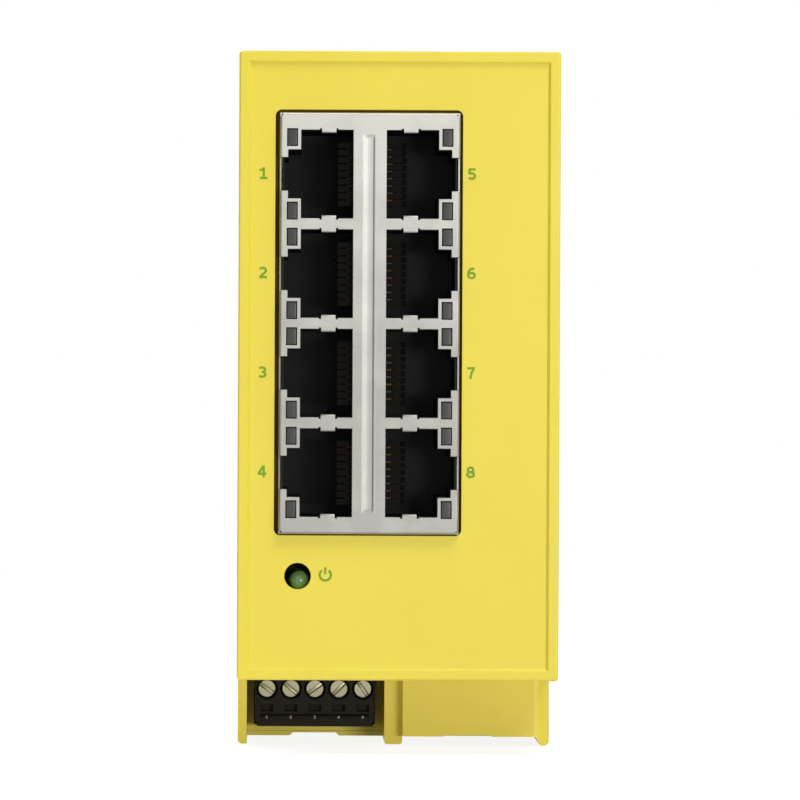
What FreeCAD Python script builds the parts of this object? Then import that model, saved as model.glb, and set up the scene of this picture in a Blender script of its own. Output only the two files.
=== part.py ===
import FreeCAD, Part
import os
import re
from collections import namedtuple

import Sketcher

# A DIN rail ethernet switch in millimetres.
# X runs to the right seen from the front, Y runs back to the rail and Z runs up.
# The origin is the middle of the face that rests on the rail.

# Driving dimensions, one sheet cell each
SIZES = {
    # Case
    "case_width": 45.2,
    "case_height": 99.0,
    "front_reach": 109.0,
    "hook_reach": 5.5,
    "wall": 1.3,
    "back_wall": 1.5,
    "recess_tall": 10.6,
    "edge_round": 0.5,
    "fit": 0.1,
    # Cover
    "cover_depth": 25.0,
    "face_thick": 2.0,
    "rim": 1.4,
    "rim_step": 0.4,
    "rim_slope": 0.35,
    "rim_round": 0.3,
    "window_left": 0.6,
    "window_right": 0.4,
    "window_above": 0.45,
    "window_below": 0.2,
    "window_round": 0.9,
    "light_x": -14.1,
    "light_rise": 14.6,
    "light_hole": 3.75,
    # Joint of cover and shells
    "tongue_reach": 3.0,
    "tongue_thick": 1.0,
    "tongue_root": 3.0,
    "catch_long": 7.0,
    "catch_deep": 1.5,
    "catch_high": 0.8,
    "catch_drop": 19.5,
    "catch_rise": 8.9,
    # Terminal recess and blank wall under the cover
    "chamber_depth": 11.5,
    "web": 1.3,
    "runner": 0.5,
    "lip_reach": 0.7,
    "lip_tall": 0.7,
    "notch_wide": 6.3,
    "notch_slant": 0.5,
    "notch_tall": 0.45,
    "notch_long": 8.0,
    "web_round": 0.4,
    "blank_x": 10.7,
    "blank_proud": 2.5,
    "blank_round": 2.4,
    "blank_rise": 1.3,
    "blank_dip": 0.2,
    "foot_wide": 1.25,
    "foot_slant": 0.8,
    # Rail hook and latch
    "rail_tall": 35.0,
    "rail_play": 0.2,
    "rail_slot": 1.3,
    "hook_grip": 1.8,
    "seat_tall": 30.0,
    "seat_relief": 0.2,
    "land_slope": 2.6,
    "channel_front": 0.8,
    "slide_gap": 0.2,
    "latch_wide": 16.0,
    "latch_thick": 2.0,
    "latch_low": 0.9,
    "bar_wide": 10.4,
    "bar_thick": 2.0,
    "bar_drop": 3.2,
    "nose_tip": 0.8,
    "nose_rise": 1.9,
    "peg_wide": 5.0,
    "peg_tall": 2.0,
    "peg_rise": 8.5,
    "peg_gap": 0.05,
    "spring_long": 12.0,
    "spring_wide": 4.4,
    "spring_strip": 0.5,
    "spring_deep": 1.2,
    "eye_wide": 6.0,
    "eye_tall": 2.2,
    "eye_low": 2.0,
    # Vents
    "vent_near": 3.6,
    "vent_long": 14.5,
    "vent_wide": 1.8,
    "vent_pitch": 5.2,
    "vent_start": 9.0,
    "floor_vent_start": 9.0,
    # Posts that join the shells through the main board
    "post_wide": 5.0,
    "pin_wide": 2.6,
    "post_meet": 5.0,
    "pin_long": 3.0,
    "post_back": -12.0,
    "post_front": -58.0,
    "post_drop": 9.5,
    "post_rise": 9.5,
    "post_mid": -26.0,
    # Jack
    "jack_x": -4.2,
    "jack_z": 11.22,
    "jack_width": 25.35,
    "jack_height": 59.2,
    "jack_depth": 26.0,
    "jack_proud": 1.0,
    "sheet": 0.3,
    "bend_round": 0.4,
    "corner_cut": 0.45,
    "flange_deep": 3.0,
    "groove_wide": 2.0,
    "groove_end": 2.9,
    "groove_deep": 0.4,
    "jack_end": 1.66,
    "port_near": 2.33,
    "port_far": 9.68,
    "port_wall": 1.53,
    "key_far": 11.5,
    "key_tall": 6.9,
    "key_tip_tall": 4.7,
    "tip_deep": 1.2,
    "tip_wall": 0.25,
    "tab_near": 4.73,
    "tab_wide": 2.05,
    "tab_reach": 0.45,
    "tab_slit": 0.28,
    "tab_slit_deep": 0.18,
    "tab_round": 0.28,
    "lens_near": 10.14,
    "lens_wide": 1.52,
    "lens_low": 3.9,
    "lens_past": 0.18,
    "lens_deep": 3.0,
    "lens_gap": 0.06,
    "cavity_inset": 0.1,
    "cavity_depth": 15.0,
    "jack_peg": 2.4,
    "jack_peg_z": 18.0,
    "jack_peg_back": 6.0,
    "wire_pitch": 1.02,
    "wire_wide": 0.42,
    "wire_thick": 0.35,
    "wire_set": 3.0,
    "wire_leg": 6.5,
    "wire_free": 7.0,
    "wire_rise": 2.3,
    # Boards and what stands on them
    "board_thick": 1.6,
    "board_gap": 0.5,
    "chip_wide": 16.0,
    "chip_thick": 1.4,
    "chip_y": -46.0,
    "chip_z": 11.0,
    "lead_reach": 1.0,
    "lead_thick": 0.2,
    "crystal_long": 5.0,
    "crystal_wide": 3.2,
    "crystal_thick": 1.2,
    "crystal_z": -6.0,
    "power_gap": 0.6,
    "power_front": 3.0,
    "power_back": -53.0,
    "ledge": 1.2,
    "link_long": 15.0,
    "link_wide": 2.5,
    "link_y": -84.0,
    "link_pin": 0.6,
    "link_pitch": 2.54,
    "coil_wide": 7.0,
    "coil_tall": 3.5,
    "coil_round": 1.5,
    "coil_x": -13.0,
    "coil_y": -85.0,
    "can_wide": 8.0,
    "can_tall": 10.5,
    "can_x": -2.5,
    "can_y": -94.0,
    "can_pitch": 10.0,
    "regulator_long": 5.0,
    "regulator_tall": 1.6,
    "regulator_y": -75.0,
    "stand_wide": 4.4,
    "stand_deep": 5.0,
    "light_wide": 2.9,
    "light_flange": 3.4,
    "flange_thick": 1.0,
    "light_long": 6.0,
    "light_set": 1.0,
    "light_shift": 0.28,
    "light_drop": 0.5,
    # Terminal header
    "header_wall": 1.0,
    "header_gap": 0.3,
    "header_depth": 11.0,
    "pin_side": 0.8,
    "pin_rise": 3.8,
    "pin_hole": 0.1,
    "pin_back": 1.5,
    "pin_front": 1.5,
    # Terminal plug
    "plug_x": -11.4,
    "plug_wide": 17.6,
    "plug_rise": 2.3,
    "plug_tall": 7.9,
    "plug_set": 3.5,
    "plug_past": 0.4,
    "tail_long": 8.8,
    "tail_wide": 16.0,
    "tail_rise": 0.8,
    "tail_tall": 6.2,
    "tail_gap": 0.2,
    "pole_pitch": 3.5,
    "plug_step": 0.33,
    "plug_step_tall": 0.65,
    "ledge_rise": 1.2,
    "ledge_tall": 0.6,
    "ledge_reach": 0.4,
    "ledge_bevel": 0.32,
    "ledge_inset": 0.9,
    "test_wide": 1.8,
    "test_tall": 0.95,
    "test_rise": 2.7,
    "test_deep": 1.2,
    "screw_rise": 5.5,
    "screw_gap": 0.3,
    "head_wide": 2.5,
    "head_set": 0.2,
    "head_thick": 0.95,
    "shank_wide": 1.4,
    "slot_wide": 0.5,
    "slot_deep": 0.5,
    "screw_web": 0.55,
    "cell_wide": 2.9,
    "cell_rise": 2.6,
    "cell_tall": 4.75,
    "cell_back": 0.7,
    "entry_wide": 2.4,
    "entry_deep": 2.6,
    "cage_wide": 2.5,
    "cage_side": 0.3,
    "cage_thick": 0.7,
    "cage_rise": 4.2,
    "cage_tall": 2.6,
    "clamp_gap": 0.1,
    "strip_wide": 1.5,
    "strip_thick": 0.3,
    "strip_rise": 3.3,
    "strip_gap": 0.1,
    "wire_space": 2.9,
    # Turn of each screw slot
    "slot_turn_one": -35.0,
    "slot_turn_two": -40.0,
    "slot_turn_three": 35.0,
    "slot_turn_four": 45.0,
    "slot_turn_five": -55.0,
}

# Counts, the names of the five turns, the run of a cut past a face and the nearness of equal places
POLES = 5
PORT_ROWS = 4
WIRES = 8
LINK_PINS = 6
CANS = 2
SPRING_LEGS = 8
TOP_VENTS = 12
FLOOR_VENTS = 10
TURNS = ["one", "two", "three", "four", "five"]
POST_PLACES = [("post_back", "post_high"), ("post_back", "post_low"), ("post_front", "post_mid")]
DOME_ANGLES = [45, 0]
OVER = "1"
NEAR = 1e-4

# Places worked out from the driving dimensions
PLACES = {
    "half_width": "case_width / 2",
    "inner_half": "half_width - wall",
    "top": "case_height / 2",
    "bottom": "-case_height / 2",
    "base_floor": "bottom + runner",
    "floor_top": "base_floor + wall",
    "rim_front": "-front_reach",
    "face_front": "rim_front + rim_step",
    "face_back": "rim_front + face_thick",
    "shell_front": "cover_depth - front_reach",
    "cover_floor": "bottom + recess_tall",
    "chamber_back": "shell_front + chamber_depth",
    "catch_top": "top - catch_drop",
    "catch_foot": "cover_floor + catch_rise",
    "post_high": "top - post_drop",
    "post_low": "bottom + post_rise",
    "rail_half": "rail_tall / 2 + rail_play",
    "land_low": "-rail_half - rail_play",
    "channel_lip": "channel_front + 2 * slide_gap + latch_thick",
    "latch_front": "channel_front + slide_gap",
    "latch_back": "latch_front + latch_thick",
    "latch_top": "land_low - slide_gap",
    "latch_foot": "bottom + latch_low",
    "peg_z": "bottom + peg_rise",
    "spring_low": "peg_z + peg_tall",
    "spring_high": "spring_low + spring_long",
    "jack_front": "face_front - jack_proud",
    "jack_back": "jack_front + jack_depth",
    "jack_right": "jack_x + jack_width / 2",
    "insert_half": "jack_width / 2 - sheet - fit",
    "insert_front": "jack_front + sheet + fit",
    "port_pitch": f"(jack_height - 2 * jack_end) / {PORT_ROWS}",
    "port_tall": "port_pitch - port_wall",
    "lens_tall": "port_tall / 2 + lens_past - lens_low",
    "first_port": f"jack_z + {PORT_ROWS - 1} / 2 * port_pitch",
    "groove_back": "jack_front + groove_deep + sheet",
    "groove_radius": "groove_wide * groove_wide / (8 * groove_deep) + groove_deep / 2",
    "board_left": "jack_right",
    "board_right": "jack_right + board_thick",
    "power_under": "cover_floor + wall + power_gap",
    "power_over": "power_under + board_thick",
    "light_mid_x": "light_x + light_shift",
    "light_z": "cover_floor + light_rise",
    "light_mid_z": "light_z - light_drop",
    "light_tip": "face_front + light_set",
    "light_back": "light_tip + light_long",
    "plug_half": "plug_wide / 2",
    "plug_low": "bottom + plug_rise",
    "plug_high": "plug_low + plug_tall",
    "tail_low": "plug_low + tail_rise",
    "tail_high": "tail_low + tail_tall",
    "ledge_low": "plug_low + ledge_rise",
    "test_z": "plug_low + test_rise",
    "screw_z": "plug_low + screw_rise",
    "pin_z": "plug_low + pin_rise",
    "plug_face": "shell_front + plug_set",
    "plug_shoulder": "chamber_back + wall + plug_past",
    "plug_rear": "plug_shoulder + tail_long",
    "header_front": "plug_shoulder + header_gap",
    "header_back": "header_front + header_depth",
    "header_half": "tail_wide / 2 + tail_gap + header_wall",
    "pole_start": f"plug_x - {POLES - 1} / 2 * pole_pitch",
    "head_front": "plug_face + head_set",
    "head_back": "head_front + head_thick",
    "cell_front": "head_back + screw_web",
    "cell_rear": "plug_shoulder - cell_back",
    "cell_low": "plug_low + cell_rise",
    "cell_high": "cell_low + cell_tall",
    "cage_low": "plug_low + cage_rise",
    "cage_high": "cage_low + cage_tall",
    "strip_low": "plug_low + strip_rise",
    "strip_back": "cell_rear - fit",
    "strip_front": "strip_back - strip_thick - clamp_gap - cage_thick - wire_space - strip_thick",
    "strip_high": "cell_high - fit / 2",
    "cage_inner_front": "strip_front - clamp_gap",
    "cage_inner_back": "strip_front + strip_thick + wire_space",
    "shank_tip": "strip_front - fit / 2",
}


Circle = namedtuple("Circle", "x y radius")

doc = FreeCAD.newDocument("EthernetSwitch")
sheet = doc.addObject("Spreadsheet::Sheet", "Sizes")
for row, (size_name, size_value) in enumerate(SIZES.items(), start=1):
    sheet.set(f"A{row}", size_name)
    sheet.set(f"B{row}", str(size_value))
    sheet.setAlias(f"B{row}", size_name)
doc.recompute()

nodes = []


def expand(text):
    """Write an expression with a sheet reference for each size and place that it names."""

    def swap(match):
        word = match.group(0)
        if word in PLACES:
            return f"({expand(PLACES[word])})"
        return f"Sizes.{word}" if word in SIZES else word

    return re.sub(r"[a-z][a-z_]*", swap, text)


def number(text):
    """The value of an expression with the sizes as they stand."""
    return float(sheet.evalExpression(expand(text)))


def new_body(name):
    """Start the body of one node."""
    body = doc.addObject("PartDesign::Body", name)
    body.Label = name
    body.AllowCompound = True
    nodes.append(body)
    return body


def origin_part(body, role):
    """A plane or axis of the body's own origin."""
    return next(part for part in body.Origin.OriginFeatures if part.Role == role)


def rect(left, low, right, high):
    """The corners of an upright rectangle."""
    return [(left, low), (right, low), (right, high), (left, high)]


def square(x, y, half):
    """The corners of a square about a middle."""
    return rect(f"{x} - ({half})", f"{y} - ({half})", f"{x} + ({half})", f"{y} + ({half})")


def draw_polygon(sketch, corners):
    """Draw a closed outline with each corner bound to its two expressions."""
    first = sketch.GeometryCount
    spots = [FreeCAD.Vector(number(x), number(y), 0) for x, y in corners]
    ends = spots[1:] + spots[:1]
    sketch.addGeometry([Part.LineSegment(a, b) for a, b in zip(spots, ends)])
    rules = []
    bound = []
    for place, (x, y) in enumerate(corners):
        line = first + place
        following = first + (place + 1) % len(corners)
        rules.append(Sketcher.Constraint("Coincident", line, 2, following, 1))
        bound.append(None)
        for kind, text in (("DistanceX", x), ("DistanceY", y)):
            rules.append(Sketcher.Constraint(kind, -1, 1, line, 1, number(text)))
            bound.append(text)
    for index, text in zip(sketch.addConstraint(rules), bound):
        if text:
            sketch.setExpression(f"Constraints[{index}]", expand(text))


def draw_circle(sketch, circle):
    """Draw a circle with its middle and radius bound."""
    middle = FreeCAD.Vector(number(circle.x), number(circle.y), 0)
    arc = sketch.addGeometry(Part.Circle(middle, FreeCAD.Vector(0, 0, 1), number(circle.radius)))
    rules = [
        Sketcher.Constraint("DistanceX", -1, 1, arc, 3, number(circle.x)),
        Sketcher.Constraint("DistanceY", -1, 1, arc, 3, number(circle.y)),
        Sketcher.Constraint("Radius", arc, number(circle.radius)),
    ]
    for index, text in zip(sketch.addConstraint(rules), circle):
        sketch.setExpression(f"Constraints[{index}]", expand(text))


def add_sketch(body, plane, at, loops, along="0", up="0", turn=None):
    """Sketch loops on an origin plane moved to a place on its axis."""
    sketch = body.newObject("Sketcher::SketchObject", f"{body.Name}_outline")
    sketch.AttachmentSupport = [(origin_part(body, f"{plane}_Plane"), "")]
    sketch.MapMode = "FlatFace"
    facing = "-1" if plane == "XZ" else "1"
    sketch.setExpression("AttachmentOffset.Base.x", expand(along))
    sketch.setExpression("AttachmentOffset.Base.y", expand(up))
    sketch.setExpression("AttachmentOffset.Base.z", expand(f"{facing} * ({at})"))
    if turn:
        sketch.setExpression("AttachmentOffset.Rotation.Angle", expand(turn))
    for loop in loops:
        if isinstance(loop, Circle):
            draw_circle(sketch, loop)
        else:
            draw_polygon(sketch, loop)
    return sketch


def extrude(body, kind, plane, at, to, loops, **placing):
    """Pad or pocket loops from one place to another on the axis across their plane."""
    sketch = add_sketch(body, plane, at, loops, **placing)
    feature = body.newObject(f"PartDesign::{kind}", f"{body.Name}_{kind.lower()}")
    feature.Profile = sketch
    rising = number(to) > number(at)
    with_normal = rising != (plane == "XZ")
    feature.Reversed = with_normal == (kind == "Pocket")
    feature.setExpression("Length", expand(f"abs(({to}) - ({at}))"))
    doc.recompute()
    return feature


def pad(body, plane, at, to, loops, **placing):
    """Add the loops' prism to the body."""
    return extrude(body, "Pad", plane, at, to, loops, **placing)


def pocket(body, plane, at, to, loops, **placing):
    """Cut the loops' prism from the body."""
    return extrude(body, "Pocket", plane, at, to, loops, **placing)


def revolve(body, plane, at, loop, along="0", up="0"):
    """Turn a half section, given as radius and height, about the upright line through its sketch."""
    sketch = add_sketch(body, plane, at, [loop], along=along, up=up)
    feature = body.newObject("PartDesign::Revolution", f"{body.Name}_turned")
    feature.Profile = sketch
    feature.ReferenceAxis = (sketch, ["V_Axis"])
    feature.Angle = 360
    doc.recompute()
    return feature


def row_of(body, feature, axis, pitch, count, reverse=False):
    """A step of a pattern: copies of a feature in a row along an axis."""
    row = body.newObject("PartDesign::LinearPattern", f"{body.Name}_row")
    row.Direction = (origin_part(body, f"{axis}_Axis"), [""])
    row.Reversed = reverse
    row.Occurrences = count
    row.setExpression("Length", expand(f"({pitch}) * {count - 1}"))
    if feature:
        row.Originals = [feature]
        doc.recompute()
        body.Tip = row
    return row


def grid_of(body, feature, rows):
    """Copies of a feature in rows of rows."""
    grid = body.newObject("PartDesign::MultiTransform", f"{body.Name}_grid")
    grid.Originals = [feature]
    grid.Transformations = [row_of(body, None, *row) for row in rows]
    body.Tip = grid
    doc.recompute()
    return grid


def straight_edges(feature, axis, **places):
    """Names of the straight edges along an axis whose middles are at the given places."""
    wanted = {key: [number(text) for text in texts] for key, texts in places.items()}
    names = []
    for place, edge in enumerate(feature.Shape.Edges, start=1):
        box = edge.BoundBox
        spans = {"X": box.XLength, "Y": box.YLength, "Z": box.ZLength}
        middle = {"x": box.Center.x, "y": box.Center.y, "z": box.Center.z}
        across = max(span for key, span in spans.items() if key != axis)
        fits = all(
            min(abs(middle[key] - value) for value in values) < NEAR
            for key, values in wanted.items()
        )
        if across < NEAR < spans[axis] and fits:
            names.append(f"Edge{place}")
    return names


def soften(body, kind, feature, names, size):
    """Round or bevel named edges of the body's last feature."""
    softened = body.newObject(f"PartDesign::{kind}", f"{body.Name}_{kind.lower()}")
    softened.Base = (feature, names)
    softened.setExpression("Radius" if kind == "Fillet" else "Size", expand(size))
    doc.recompute()
    return softened


def shell_outline():
    """The side view of a base shell with the rail slot, the upper hook and the lower land."""
    return [
        ("shell_front", "bottom"),
        ("hook_reach", "bottom"),
        ("hook_reach", "land_low - land_slope"),
        ("rail_slot", "land_low"),
        ("-seat_relief", "land_low"),
        ("-seat_relief", "-seat_tall / 2"),
        ("0", "-seat_tall / 2"),
        ("0", "seat_tall / 2"),
        ("-seat_relief", "seat_tall / 2"),
        ("-seat_relief", "rail_half"),
        ("rail_slot", "rail_half"),
        ("rail_slot", "rail_half - hook_grip"),
        ("hook_reach", "rail_half - hook_grip / 2"),
        ("hook_reach", "top"),
        ("shell_front", "top"),
    ]


def shell_hollow():
    """The side view of the space inside a base shell, open to the front."""
    return [
        (f"shell_front - {OVER}", "cover_floor + wall"),
        ("chamber_back + wall", "cover_floor + wall"),
        ("chamber_back + wall", "floor_top"),
        ("-back_wall", "floor_top"),
        ("-back_wall", "rail_half + wall"),
        ("hook_reach - wall", "rail_half + wall"),
        ("hook_reach - wall", "top - wall"),
        (f"shell_front - {OVER}", "top - wall"),
    ]


def tongue_outline(side, gap):
    """The angle of the tongue along a shell's side and top, a gap inside the cover's wall."""
    outer = f"inner_half - {gap}"
    inner = "inner_half - fit - tongue_thick"
    over = f"top - wall - {gap}"
    under = "top - wall - fit - tongue_thick"
    low = "cover_floor + wall + tongue_root"
    return [
        ("0", under),
        (f"{side} * ({inner})", under),
        (f"{side} * ({inner})", low),
        (f"{side} * ({outer})", low),
        (f"{side} * ({outer})", over),
        ("0", over),
    ]


def blank_outline(gap):
    """The front view of the wall that stands where a second plug could go, a gap under the cover."""
    low = "bottom + blank_rise"
    high = f"cover_floor - {gap}"
    return [
        ("web", low),
        ("blank_x - notch_wide / 2 - notch_slant", low),
        ("blank_x - notch_wide / 2", f"{low} + blank_dip"),
        ("blank_x + notch_wide / 2", f"{low} + blank_dip"),
        ("blank_x + notch_wide / 2 + notch_slant", low),
        ("half_width - foot_wide - foot_slant", low),
        ("half_width - foot_wide", "bottom"),
        ("half_width - edge_round", "bottom"),
        ("half_width", "bottom + edge_round"),
        ("half_width", high),
        ("web", high),
    ]


def close_recess(body):
    """The blank wall of the right shell, proud of its front and rounded into the side."""
    pad(body, "XZ", "shell_front + wall", "shell_front", [blank_outline("0")])
    proud = pad(body, "XZ", "shell_front", "shell_front - blank_proud", [blank_outline("fit")])
    corner = straight_edges(proud, "Z", x=["half_width"], y=["shell_front - blank_proud"])
    soften(body, "Fillet", proud, corner, "blank_round")


def recess_lip(body):
    """The lip along the floor of the plug's recess, with a notch that runs on under the floor."""
    lip = rect("-inner_half", "base_floor", "-web", "base_floor + lip_tall")
    pad(body, "XZ", "chamber_back", "chamber_back - lip_reach", [lip])
    notch = [
        ("plug_x + notch_wide / 2 + notch_slant", "base_floor"),
        ("plug_x + notch_wide / 2", "base_floor + notch_tall"),
        ("plug_x - notch_wide / 2", "base_floor + notch_tall"),
        ("plug_x - notch_wide / 2 - notch_slant", "base_floor"),
    ]
    pocket(body, "XZ", "chamber_back - lip_reach", "chamber_back + notch_long", [notch])


def shell_posts(body, side):
    """Posts through the main board: pins on the right shell, sockets on the left one."""
    posts = [square(y, z, "post_wide / 2") for y, z in POST_PLACES]
    pins = [square(y, z, "pin_wide / 2") for y, z in POST_PLACES]
    sockets = [square(y, z, "pin_wide / 2 + fit") for y, z in POST_PLACES]
    if side > 0:
        pad(body, "YZ", "inner_half", "board_right", posts)
        pad(body, "YZ", "board_right", "post_meet - pin_long", pins)
    else:
        pad(body, "YZ", "-inner_half", "post_meet", posts)
        pocket(body, "YZ", "post_meet", "post_meet - pin_long - fit", sockets)


def shell_vents(body, side):
    """Rows of slots through the top and the floor of a shell."""
    near = f"{side} * vent_near"
    far = f"{side} * (vent_near + vent_long)"
    slot = rect(near, "-vent_start - vent_wide", far, "-vent_start")
    upper = pocket(body, "XY", f"top + {OVER}", "top - wall - fit / 2", [slot])
    row_of(body, upper, "Y", "vent_pitch", TOP_VENTS, True)
    slot = rect(near, "-floor_vent_start - vent_wide", far, "-floor_vent_start")
    lower = pocket(body, "XY", f"bottom - {OVER}", "floor_top + fit / 2", [slot])
    row_of(body, lower, "Y", "vent_pitch", FLOOR_VENTS, True)


def latch_channel(body, side):
    """The T slot that guides the latch, its spring peg and the space beside it."""
    wide = f"{side} * (latch_wide / 2 + slide_gap)"
    mouth = f"{side} * (bar_wide / 2 + slide_gap)"
    slot = [
        ("0", "channel_front"),
        (wide, "channel_front"),
        (wide, "channel_lip"),
        (mouth, "channel_lip"),
        (mouth, f"hook_reach + {OVER}"),
        ("0", f"hook_reach + {OVER}"),
    ]
    pocket(body, "XY", f"bottom - {OVER}", "land_low", [slot])
    peg = rect("0", "peg_z", f"{side} * peg_wide / 2", "spring_low")
    pad(body, "XZ", "channel_front", "latch_back", [peg])
    near = f"{side} * (latch_wide / 2 + slide_gap + wall)"
    high = "land_low - land_slope - wall"
    space = rect(f"-back_wall - {OVER}", "floor_top", "hook_reach - wall", high)
    pocket(body, "YZ", near, f"{side} * inner_half", [space])


def make_shell(name, side):
    """One moulded half of the base: a tray with its rail slot, terminal recess and tongue."""
    body = new_body(name)
    block = pad(body, "YZ", "0", f"{side} * half_width", [shell_outline()])
    outer = straight_edges(block, "Y", x=[f"{side} * half_width"], z=["top", "bottom"])
    soften(body, "Fillet", block, outer, "edge_round")
    pocket(body, "YZ", "0", f"{side} * inner_half", [shell_hollow()])
    recess = rect(f"shell_front - {OVER}", f"bottom - {OVER}", "chamber_back", "cover_floor")
    pocket(body, "YZ", f"{side} * web", f"{side} * inner_half", [recess])
    under = rect(f"{side} * web", "chamber_back", f"{side} * inner_half", f"hook_reach + {OVER}")
    raised = pocket(body, "XY", f"bottom - {OVER}", "base_floor", [under])
    runner = straight_edges(raised, "Y", x=[f"{side} * web"], z=["bottom"])
    soften(body, "Fillet", raised, runner, "web_round")
    if side > 0:
        close_recess(body)
    else:
        recess_lip(body)
        way = rect(
            "plug_x - plug_half - fit", "plug_low - tail_gap", "plug_x + plug_half + fit", "cover_floor"
        )
        pocket(body, "XZ", f"chamber_back - {OVER}", f"chamber_back + wall + {OVER}", [way])
        ends = {"power_under - ledge": "header_front - header_gap", "power_over + fit": "power_back"}
        for low, end in ends.items():
            rib = rect("-inner_half", low, "-inner_half + ledge", f"{low} + ledge")
            pad(body, "XZ", "shell_front + tongue_root", end, [rib])
    pad(body, "XZ", "shell_front + tongue_root", "shell_front", [tongue_outline(side, "0")])
    pad(body, "XZ", "shell_front", "shell_front - tongue_reach", [tongue_outline(side, "fit")])
    catch = [
        (f"{side} * (inner_half - fit)", "shell_front - tongue_reach"),
        (f"{side} * (inner_half + catch_high)", "shell_front - tongue_reach + catch_deep"),
        (f"{side} * (inner_half - fit)", "shell_front - tongue_reach + catch_deep"),
    ]
    hook = pad(body, "XY", "catch_top", "catch_top - catch_long", [catch])
    row_of(body, hook, "Z", "catch_top - catch_long - catch_foot", 2, True)
    latch_channel(body, side)
    shell_posts(body, side)
    shell_vents(body, side)


def make_cover():
    """The front cap with its raised rim, sunk face, jack window and light hole."""
    body = new_body("front_cover")
    outline = rect("-half_width", "cover_floor", "half_width", "top")
    block = pad(body, "XZ", "shell_front", "rim_front", [outline])
    corners = straight_edges(block, "Y", x=["-half_width", "half_width"], z=["cover_floor", "top"])
    rounded = soften(body, "Fillet", block, corners, "edge_round")
    rim = straight_edges(rounded, "X", y=["rim_front"]) + straight_edges(rounded, "Z", y=["rim_front"])
    soften(body, "Fillet", rounded, rim, "rim_round")
    inside = rect("-inner_half", "cover_floor + wall", "inner_half", "top - wall")
    pocket(body, "XZ", f"shell_front + {OVER}", "face_back", [inside])
    inset = "rim + rim_slope"
    sunk = rect(
        f"-half_width + {inset}", f"cover_floor + {inset}",
        f"half_width - ({inset})", f"top - ({inset})",
    )
    face = pocket(body, "XZ", "rim_front", "face_front", [sunk])
    uprights = [f"-half_width + {inset}", f"half_width - ({inset})"]
    levels = [f"cover_floor + {inset}", f"top - ({inset})"]
    sides = straight_edges(face, "Z", x=uprights, y=["rim_front"])
    ends = straight_edges(face, "X", z=levels, y=["rim_front"])
    soften(body, "Chamfer", face, sides + ends, "rim_slope")
    left = "jack_x - jack_width / 2 - window_left"
    right = "jack_right + window_right"
    low = "jack_z - jack_height / 2 - window_below"
    high = "jack_z + jack_height / 2 + window_above"
    window = pocket(body, "XZ", "rim_front", f"face_back + {OVER}", [rect(left, low, right, high)])
    corners = straight_edges(window, "Y", x=[left, right], z=[low, high])
    soften(body, "Fillet", window, corners, "window_round")
    hole = Circle("light_x", "light_z", "light_hole / 2")
    pocket(body, "XZ", "rim_front", f"face_back + {OVER}", [hole])
    slots = [
        rect(
            "shell_front - tongue_reach - slide_gap",
            f"{low} - slide_gap",
            "shell_front - tongue_reach + catch_deep + slide_gap",
            f"{low} + catch_long + slide_gap",
        )
        for low in ("catch_top - catch_long", "catch_foot")
    ]
    pocket(body, "YZ", f"-half_width - {OVER}", f"half_width + {OVER}", slots)


def make_latch():
    """The sliding rail catch with its nose, spring window and screwdriver eye."""
    body = new_body("din_latch")
    flange = rect("-latch_wide / 2", "latch_foot", "latch_wide / 2", "latch_top")
    pad(body, "XZ", "latch_front", "latch_back", [flange])
    bar = rect("-bar_wide / 2", "latch_foot", "bar_wide / 2", "land_low - bar_drop")
    pad(body, "XZ", "latch_back", "latch_back + bar_thick", [bar])
    nose = [
        ("rail_slot + fit", "latch_top"),
        ("rail_slot + fit", "land_low + nose_rise"),
        ("rail_slot + fit + nose_tip", "land_low + nose_rise"),
        ("latch_back + bar_thick", "land_low - bar_drop"),
        ("latch_back", "land_low - bar_drop"),
        ("latch_back", "latch_top"),
    ]
    pad(body, "YZ", "-bar_wide / 2", "bar_wide / 2", [nose])
    half = "peg_wide / 2 + slide_gap"
    window = rect(f"-({half})", "peg_z - peg_gap", half, "spring_high + peg_gap")
    eye_foot = "latch_foot + eye_low"
    eye = rect("-eye_wide / 2", eye_foot, "eye_wide / 2", f"{eye_foot} + eye_tall")
    pocket(body, "XZ", f"latch_front - {OVER}", f"latch_back + bar_thick + {OVER}", [window, eye])


def make_spring():
    """A strip folded to and fro between the shells' peg and the head of the latch's window."""
    body = new_body("latch_spring")
    gap = f"(spring_long - {SPRING_LEGS} * spring_strip) / {SPRING_LEGS - 1}"
    rising = [("spring_wide / 2", "spring_low")]
    falling = [("-spring_wide / 2", "spring_low")]
    for fold in range(SPRING_LEGS - 1):
        low = f"spring_low + {fold + 1} * spring_strip + {fold} * {gap}"
        edge, side = (rising, 1) if fold % 2 else (falling, -1)
        mouth = f"{side} * spring_wide / 2"
        end = f"{side} * (spring_strip - spring_wide / 2)"
        edge += [(mouth, low), (end, low), (end, f"{low} + {gap}"), (mouth, f"{low} + {gap}")]
    rising.append(("spring_wide / 2", "spring_high"))
    falling.append(("-spring_wide / 2", "spring_high"))
    deep = "(latch_front + latch_back - spring_deep) / 2"
    pad(body, "XZ", deep, f"{deep} + spring_deep", [rising + falling[::-1]])


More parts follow.
